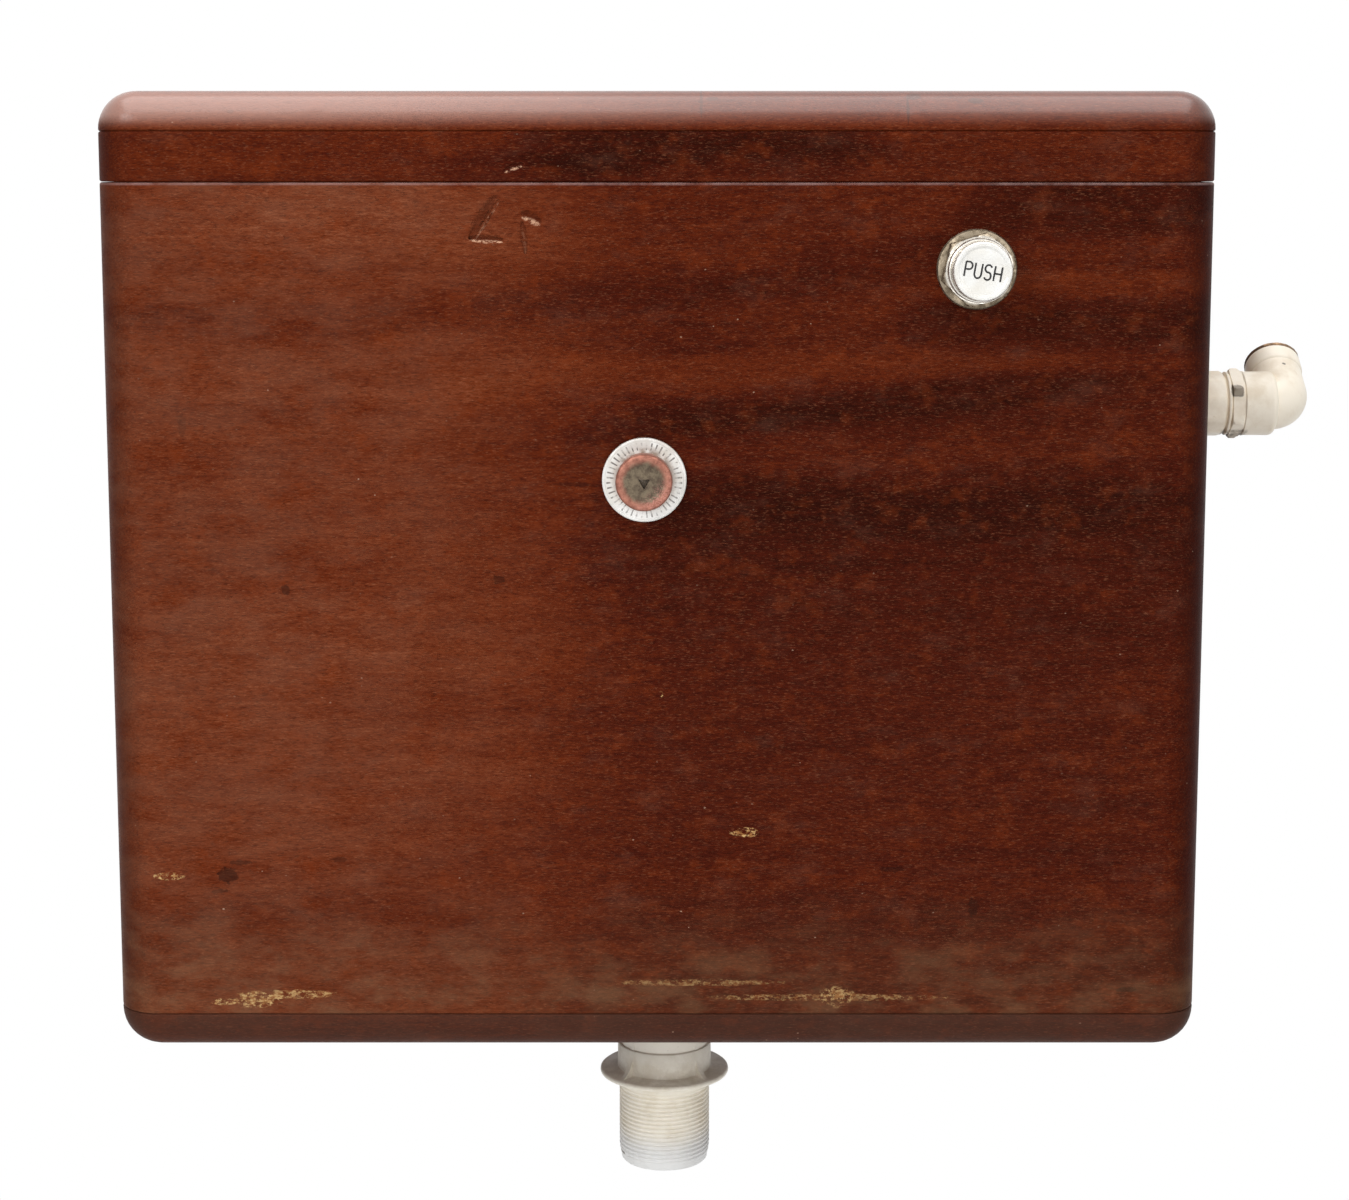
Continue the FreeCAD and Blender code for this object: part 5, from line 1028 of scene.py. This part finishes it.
# ---- lever spindle --------------------------------------------------------------------
def make_spindle():
    low, high = box("spindle_ring")
    centre = middle("spindle_ring")
    radius = (high.x - low.x) / 2
    thick = high.y - low.y
    profile = [(0.0, 0.0091, 0), (0.0, radius - 0.0006, 0), (0.0006, radius, 0),
               (0.0012, radius, 0)]
    rim = thick - 0.0012
    profile += arc((rim, radius - 0.0010), 0.0010, 90, 8, 6)
    profile += [(thick - 0.00010, radius - 0.0060, 0), (thick, 0.0110, 0),
                (thick - 0.0004, 0.0094, 0), (thick - 0.0010, 0.0091, 0), (0.0, 0.0091, 0)]
    ring = turned("spindle_china_ring", Vector((centre.x, FRONT_FACE, centre.z)), (0, -1, 0),
                  profile, CHINA_RING, "case", 120, sharp=50)
    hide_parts("spindle_ring")

    low, high = box("spindle_boss")
    long = high.y - low.y
    radius = (high.x - low.x) / 2
    profile = [(0.0, 0.0, 0), (0.0, radius - 0.0010, 0), (0.0008, radius - 0.0002, 0),
               (0.0030, radius, 0), (0.0042, radius - 0.0007, 0), (0.0050, radius - 0.0001, 0)]
    profile += arc((long - 0.0016, radius - 0.0016), 0.0016, 90, 0, 6)
    profile += [(long - 0.0001, radius - 0.0026, 0), (long - 0.0005, radius - 0.0037, 0),
                (long - 0.0011, radius - 0.0052, 0), (long - 0.0016, radius - 0.0080, 0),
                (long - 0.0014, 0.0045, 0), (long - 0.0012, 0.0035, 1),
                (long - 0.0016, 0.0034, 1), (long - 0.0052, 0.0033, 1), (long - 0.0052, 0.0, 0)]
    boss = turned("spindle_boss_turned", Vector((centre.x, high.y, centre.z)), (0, -1, 0),
                  profile, BOSS_COPPER, "lever_spindle", 96, 0.0032, 3,
                  math.radians(60), 0.00006, 9, 40)
    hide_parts("spindle_boss")


# ---- inlet elbow ----------------------------------------------------------------------
VALVE_BORE = 0.0131


def make_elbow():
    low, high = box("valve_outer_collar")
    centre = middle("valve_outer_collar")
    long = high.x - low.x
    radius = (high.z - low.z) / 2
    flats = 2 * radius * math.cos(math.pi / 10)
    start = Vector((low.x, centre.y, centre.z))
    profile = [(0.0, VALVE_BORE, 0), (0.0, radius - 0.0010, 1), (0.0008, radius, 1),
               (long - 0.0030, radius, 1), (long - 0.0016, radius - 0.0008, 1),
               (long - 0.0014, radius - 0.0022, 0), (long, radius - 0.0026, 0),
               (long, VALVE_BORE, 0), (0.0, VALVE_BORE, 0)]
    collar = turned("inlet_collar_nut", start, (1, 0, 0), profile, CREAM_PAINT, "case",
                    120, flats, 10, math.radians(4), 0.00004, 3)
    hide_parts("valve_outer_collar")

    low, high = box("elbow_union_nut")
    long = high.x - low.x
    corner = (high.z - low.z) / 2
    flats = 2 * corner * math.cos(math.pi / 6)
    start = Vector((low.x, centre.y, centre.z))
    bead = flats / 2 + 0.0007
    profile = [(0.0, VALVE_BORE, 0), (0.0, bead - 0.0008, 0), (0.0004, bead - 0.0001, 0),
               (0.0011, bead, 0), (0.0017, bead - 0.0005, 0), (0.0020, bead - 0.0014, 0),
               (0.0024, corner - 0.0008, 1), (0.0032, corner, 1),
               (long - 0.0022, corner, 1), (long - 0.0008, corner - 0.0010, 1),
               (long, corner - 0.0018, 1), (long, VALVE_BORE, 0), (0.0, VALVE_BORE, 0)]
    nut = turned("inlet_union_nut", start, (1, 0, 0), profile, CREAM_PAINT, "case",
                 144, flats, 6, math.radians(0), 0.00005, 6)
    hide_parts("elbow_union_nut")
    make_bend(high.x, centre)


ELBOW_TILT = math.radians(55)
ELBOW_R = 0.01415


def make_bend(face, centre):
    """The elbow's collar, its neck, bend and leaning arm as one swept casting, and its rim."""
    _, high = box("inlet_elbow")
    corner = Vector((high.x - ELBOW_R, centre.y, centre.z))
    up = Vector((0, math.sin(ELBOW_TILT), math.cos(ELBOW_TILT)))
    collar_r = 0.01635
    collar_long = 0.017
    profile = [(-0.006, 0.0, 0), (-0.006, 0.0129, 0), (0.0, 0.0129, 0), (0.0, collar_r - 0.0004, 0),
               (0.0006, collar_r + 0.0002, 0), (0.0022, collar_r, 0),
               (collar_long - 0.0035, collar_r, 0)]
    profile += arc((collar_long - 0.0030, collar_r - 0.0030), 0.0030, 90, 8, 6)
    profile += [(collar_long + 0.0004, 0.0, 0)]
    turned("elbow_collar", Vector((face, centre.y, centre.z)), (1, 0, 0), profile,
           CREAM_PAINT, "case", 96, rough=0.00005, seed=2)

    bend_r = 0.0075
    pipe_r = ELBOW_R - 0.0007
    path = [(Vector((face + 0.004, centre.y, centre.z)), Vector((1, 0, 0)), pipe_r)]
    turn_start = corner - Vector((1, 0, 0)) * bend_r
    hub = turn_start + up * bend_r
    path.append((turn_start, Vector((1, 0, 0)), pipe_r))
    for i in range(1, 12):
        angle = math.pi / 2 * i / 12
        point = hub + Vector((1, 0, 0)) * bend_r * math.sin(angle) - up * bend_r * math.cos(angle)
        ahead = Vector((1, 0, 0)) * math.cos(angle) + up * math.sin(angle)
        bulge = pipe_r * (1 + 0.035 * math.sin(2 * angle))
        path.append((point, ahead, bulge))
    arm = 0.0305
    sleeve = arm - 0.009
    path.append((corner + up * (bend_r + 0.0005), up, pipe_r))
    path.append((corner + up * (sleeve - 0.0006), up, pipe_r))
    path.append((corner + up * sleeve, up, ELBOW_R - 0.0002))
    path.append((corner + up * (sleeve + 0.0008), up, ELBOW_R))
    path.append((corner + up * (arm - 0.0006), up, ELBOW_R))
    path.append((corner + up * arm, up, ELBOW_R - 0.0006))
    made = bmesh.new()
    side = Vector((1, 0, 0)).cross(up)
    rings = []
    for point, ahead, radius in path:
        other = side.cross(ahead).normalized()
        rings.append([point + (side * math.cos(a) + other * math.sin(a)) * radius
                      for a in (2 * math.pi * i / 72 for i in range(72))])
    grid = skin_rings(made, rings)
    made.faces.new(grid[0])
    mouth = [(arm, 0.0122), (arm - 0.013, 0.0122), (arm - 0.013, 0.0060)]
    ring_above = grid[-1]
    other = side.cross(up).normalized()
    for along, radius in mouth:
        ring = [made.verts.new(corner + up * along + (side * math.cos(a) + other * math.sin(a))
                               * radius) for a in (2 * math.pi * i / 72 for i in range(72))]
        for i in range(72):
            j = (i + 1) % 72
            made.faces.new((ring_above[i], ring_above[j], ring[j], ring[i]))
        ring_above = ring
    made.faces.new(ring_above)
    elbow = finish_mesh("elbow_bend", made, CREAM_PAINT, "case", 38.0)
    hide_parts("inlet_elbow")

    rim = [(-0.0128, 0.0093, 0), (-0.0128, 0.0115, 0), (0.0, 0.0115, 0), (0.0, ELBOW_R - 0.0004, 0),
           (0.0006, ELBOW_R, 0), (0.0016, ELBOW_R, 0), (0.0024, ELBOW_R - 0.0007, 0),
           (0.0025, 0.0105, 0), (0.0016, 0.0095, 0), (0.0010, 0.0093, 0), (-0.0128, 0.0093, 0)]
    bush = turned("elbow_bare_rim", corner + up * arm, up, rim, RIM_BRASS, "case", 96,
                  rough=0.00008, seed=8)
    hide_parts("inlet_bush")


# ---- outlet tail ----------------------------------------------------------------------
THREAD_PITCH = 0.002309
THREAD_DEEP = 0.00095


def make_tail():
    low, high = box("outlet_tail")
    centre = middle("outlet_tail")
    foot = Vector((centre.x, centre.y, low.z))
    bore = 0.0205
    pipe = 0.0234
    flange_r = (high.x - low.x) / 2
    lead = 0.0028
    full_depth = 0.0085
    thread_top = 0.047
    thread_end = 0.0425
    flange_top = 0.050
    made = bmesh.new()
    steps = 96
    rows = []
    rows += [(0.0, bore), (0.0, pipe - 0.0014), (0.0008, pipe - 0.0007)]
    rows += [(lead - 0.0006, pipe - 0.0006)]
    per_turn = 10
    count = int((thread_end - lead) / THREAD_PITCH * per_turn)
    rings = []

    def ring_at(height, radius_of):
        ring = []
        for i in range(steps):
            angle = 2 * math.pi * i / steps
            reach = radius_of(angle)
            ring.append(foot + Vector((reach * math.cos(angle), reach * math.sin(angle), height)))
        return ring

    def thread_radius(height, angle):
        """Rounded thread form: the crest climbs one pitch each turn and fades at both ends."""
        phase = (height / THREAD_PITCH - angle / (2 * math.pi)) % 1.0
        crest = abs(2 * phase - 1)
        crest = min(max((crest - 0.12) / 0.76, 0), 1)
        crest = crest * crest * (3 - 2 * crest)
        fade = min(max((height - lead) / THREAD_PITCH, 0), 1)
        fade = min(fade, min(max((thread_end - height) / THREAD_PITCH, 0), 1))
        full = min(height / full_depth, 1)
        deep = THREAD_DEEP * (0.3 + 0.7 * full)
        return 0.0239 - 0.0009 * (1 - full) - deep * (1 - crest) * fade - 0.0003 * (1 - fade)

    for height, radius in rows:
        rings.append(ring_at(height, lambda a, r=radius: r))
    for i in range(count + 1):
        height = lead + (thread_end - lead) * i / count
        rings.append(ring_at(height, lambda a, h=height: thread_radius(h, a)))
    upper = [(thread_top - 0.0006, pipe - 0.0002), (thread_top, pipe + 0.0008),
             (thread_top + 0.0001, flange_r - 0.0012), (thread_top + 0.0006, flange_r - 0.0003),
             (thread_top + 0.0014, flange_r), (flange_top - 0.0006, flange_r - 0.0002),
             (flange_top, flange_r - 0.0010), (flange_top + 0.0001, 0.0262),
             (flange_top + 0.0008, 0.0248), (flange_top + 0.0135, 0.0246),
             (flange_top + 0.0140, 0.0242), (flange_top + 0.0142, pipe)]
    top = high.z - low.z
    upper += [(top - 0.0004, pipe), (top, pipe - 0.0004), (top, bore), (0.0, bore)]
    for height, radius in upper:
        rings.append(ring_at(height, lambda a, r=radius: r))
    skin_rings(made, rings)
    for i in range(4):
        gusset(made, foot, math.radians(45 + 90 * i), flange_top, pipe, flange_r)
    tail = finish_mesh("outlet_tail_threaded", made, TAIL_CREAM, "case", 42.0)
    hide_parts("outlet_tail")


def gusset(made, foot, azimuth, base, pipe, flange_r):
    """Thin web with a hollow edge, standing on the flange against the pipe."""
    reach = flange_r - pipe - 0.0012
    tall = 0.017
    half = 0.0012
    outward = Vector((math.cos(azimuth), math.sin(azimuth), 0))
    across = Vector((-math.sin(azimuth), math.cos(azimuth), 0))
    line = [(-0.0010, 0.0), (reach, 0.0)]
    for i in range(1, 12):
        t = math.pi / 2 * i / 12
        line.append((reach * (1 - math.sin(t)) + 0.0002, tall * (1 - math.cos(t))))
    line += [(0.0, tall), (-0.0010, tall)]
    sides = []
    for offset in (-half, half):
        sides.append([made.verts.new(foot + outward * (pipe + a) + across * offset
                                     + Vector((0, 0, base + b - 0.0002))) for a, b in line])
    made.faces.new(sides[0])
    made.faces.new(sides[1])
    for i in range(len(line)):
        j = (i + 1) % len(line)
        made.faces.new((sides[0][i], sides[0][j], sides[1][j], sides[1][i]))


# ---- studio ---------------------------------------------------------------------------
CAMERA_RIGHT = 0.0084
CAMERA_AWAY = 1.212
CAMERA_BELOW_LID = 0.034
CAMERA_PITCH = 7.5
CAMERA_LENS = 68.3
CAMERA_SHIFT = -0.0741
FLOOR_DOWN = 1.30


def make_camera():
    data = bpy.data.cameras.new("camera")
    data.sensor_width = 36.0
    data.lens = CAMERA_LENS
    data.shift_y = CAMERA_SHIFT
    camera = bpy.data.objects.new("camera", data)
    camera.location = (CAMERA_RIGHT, FRONT_FACE - CAMERA_AWAY, LID_HIGH.z - CAMERA_BELOW_LID)
    camera.rotation_euler = (math.radians(90 - CAMERA_PITCH), 0, 0)
    bpy.context.scene.collection.objects.link(camera)
    bpy.context.scene.camera = camera


def make_lamp(name, place, aim, size, watts):
    data = bpy.data.lights.new(name, "AREA")
    data.shape = "RECTANGLE"
    data.size, data.size_y = size
    data.energy = watts
    lamp = bpy.data.objects.new(name, data)
    lamp.location = place
    lamp.rotation_euler = (Vector(aim) - Vector(place)).to_track_quat("-Z", "Y").to_euler()
    bpy.context.scene.collection.objects.link(lamp)


def seen_directly(tree):
    """1 for camera, glossy and transmission rays."""
    path = tree.nodes.new("ShaderNodeLightPath")
    first = tree.nodes.new("ShaderNodeMath")
    first.operation = "MAXIMUM"
    second = tree.nodes.new("ShaderNodeMath")
    second.operation = "MAXIMUM"
    tree.links.new(path.outputs["Is Camera Ray"], first.inputs[0])
    tree.links.new(path.outputs["Is Glossy Ray"], first.inputs[1])
    tree.links.new(first.outputs[0], second.inputs[0])
    tree.links.new(path.outputs["Is Transmission Ray"], second.inputs[1])
    return second.outputs[0]


def make_world():
    world = bpy.data.worlds.new("studio")
    bpy.context.scene.world = world
    world.use_nodes = True
    tree = world.node_tree
    tree.nodes.clear()
    dim = tree.nodes.new("ShaderNodeBackground")
    dim.inputs["Color"].default_value = (0.9, 0.95, 1.0, 1)
    dim.inputs["Strength"].default_value = 0.35
    white = tree.nodes.new("ShaderNodeBackground")
    white.inputs["Color"].default_value = WHITE
    white.inputs["Strength"].default_value = 1.0
    blend = tree.nodes.new("ShaderNodeMixShader")
    out = tree.nodes.new("ShaderNodeOutputWorld")
    tree.links.new(seen_directly(tree), blend.inputs[0])
    tree.links.new(dim.outputs[0], blend.inputs[1])
    tree.links.new(white.outputs[0], blend.inputs[2])
    tree.links.new(blend.outputs[0], out.inputs[0])


def make_floor():
    """Pale floor well below the hung case; far from it the floor runs out to white."""
    pale = Finish("pale_floor")
    cloud = pale.noise(2.0, 3.0)
    pale.set(base_color=pale.mix(cloud, srgb(246, 246, 246), srgb(252, 252, 252)),
             roughness=0.6)
    tree = pale.tree
    glow = tree.nodes.new("ShaderNodeEmission")
    glow.inputs["Color"].default_value = WHITE
    blend = tree.nodes.new("ShaderNodeMixShader")
    x, y, _ = pale.axes()
    far = ((x * x + y * y) ** 0.5).steps(0.7, 1.3)
    factor = far * Tone(pale, seen_directly(tree))
    tree.links.new(factor.socket, blend.inputs[0])
    tree.links.new(pale.shader.outputs[0], blend.inputs[1])
    tree.links.new(glow.outputs[0], blend.inputs[2])
    tree.links.new(blend.outputs[0], tree.nodes["Material Output"].inputs[0])
    mesh = bpy.data.meshes.new("floor")
    size = 6.0
    level = LID_HIGH.z - FLOOR_DOWN
    mesh.from_pydata([(-size, -size, level), (size, -size, level), (size, size, level),
                      (-size, size, level)], [], [(0, 1, 2, 3)])
    mesh.materials.append(pale.material)
    floor = bpy.data.objects.new("floor", mesh)
    bpy.context.scene.collection.objects.link(floor)


def make_studio():
    scene = bpy.context.scene
    scene.view_settings.view_transform = "Standard"
    make_camera()
    make_world()
    make_floor()
    middle_z = (FRONT_LOW.z + FRONT_HIGH.z) / 2
    make_lamp("overhead", (0.0, -0.30, LID_HIGH.z + 1.2), (0, -0.1, middle_z), (2.2, 1.5), 30)
    make_lamp("key_left", (-1.5, -1.9, LID_HIGH.z + 0.9), (0, -0.2, middle_z), (1.2, 1.2), 27)
    make_lamp("fill_low", (0.2, -2.2, LID_HIGH.z - 0.95), (0, -0.1, TAIL_LOW.z), (1.4, 0.6), 7)
    make_lamp("fill_right", (1.6, -2.0, LID_HIGH.z + 0.3), (0, -0.2, middle_z), (1.2, 1.4), 11)


dress_nodes()
make_boards()
make_button()
make_spring()
make_spindle()
make_elbow()
make_tail()
make_studio()
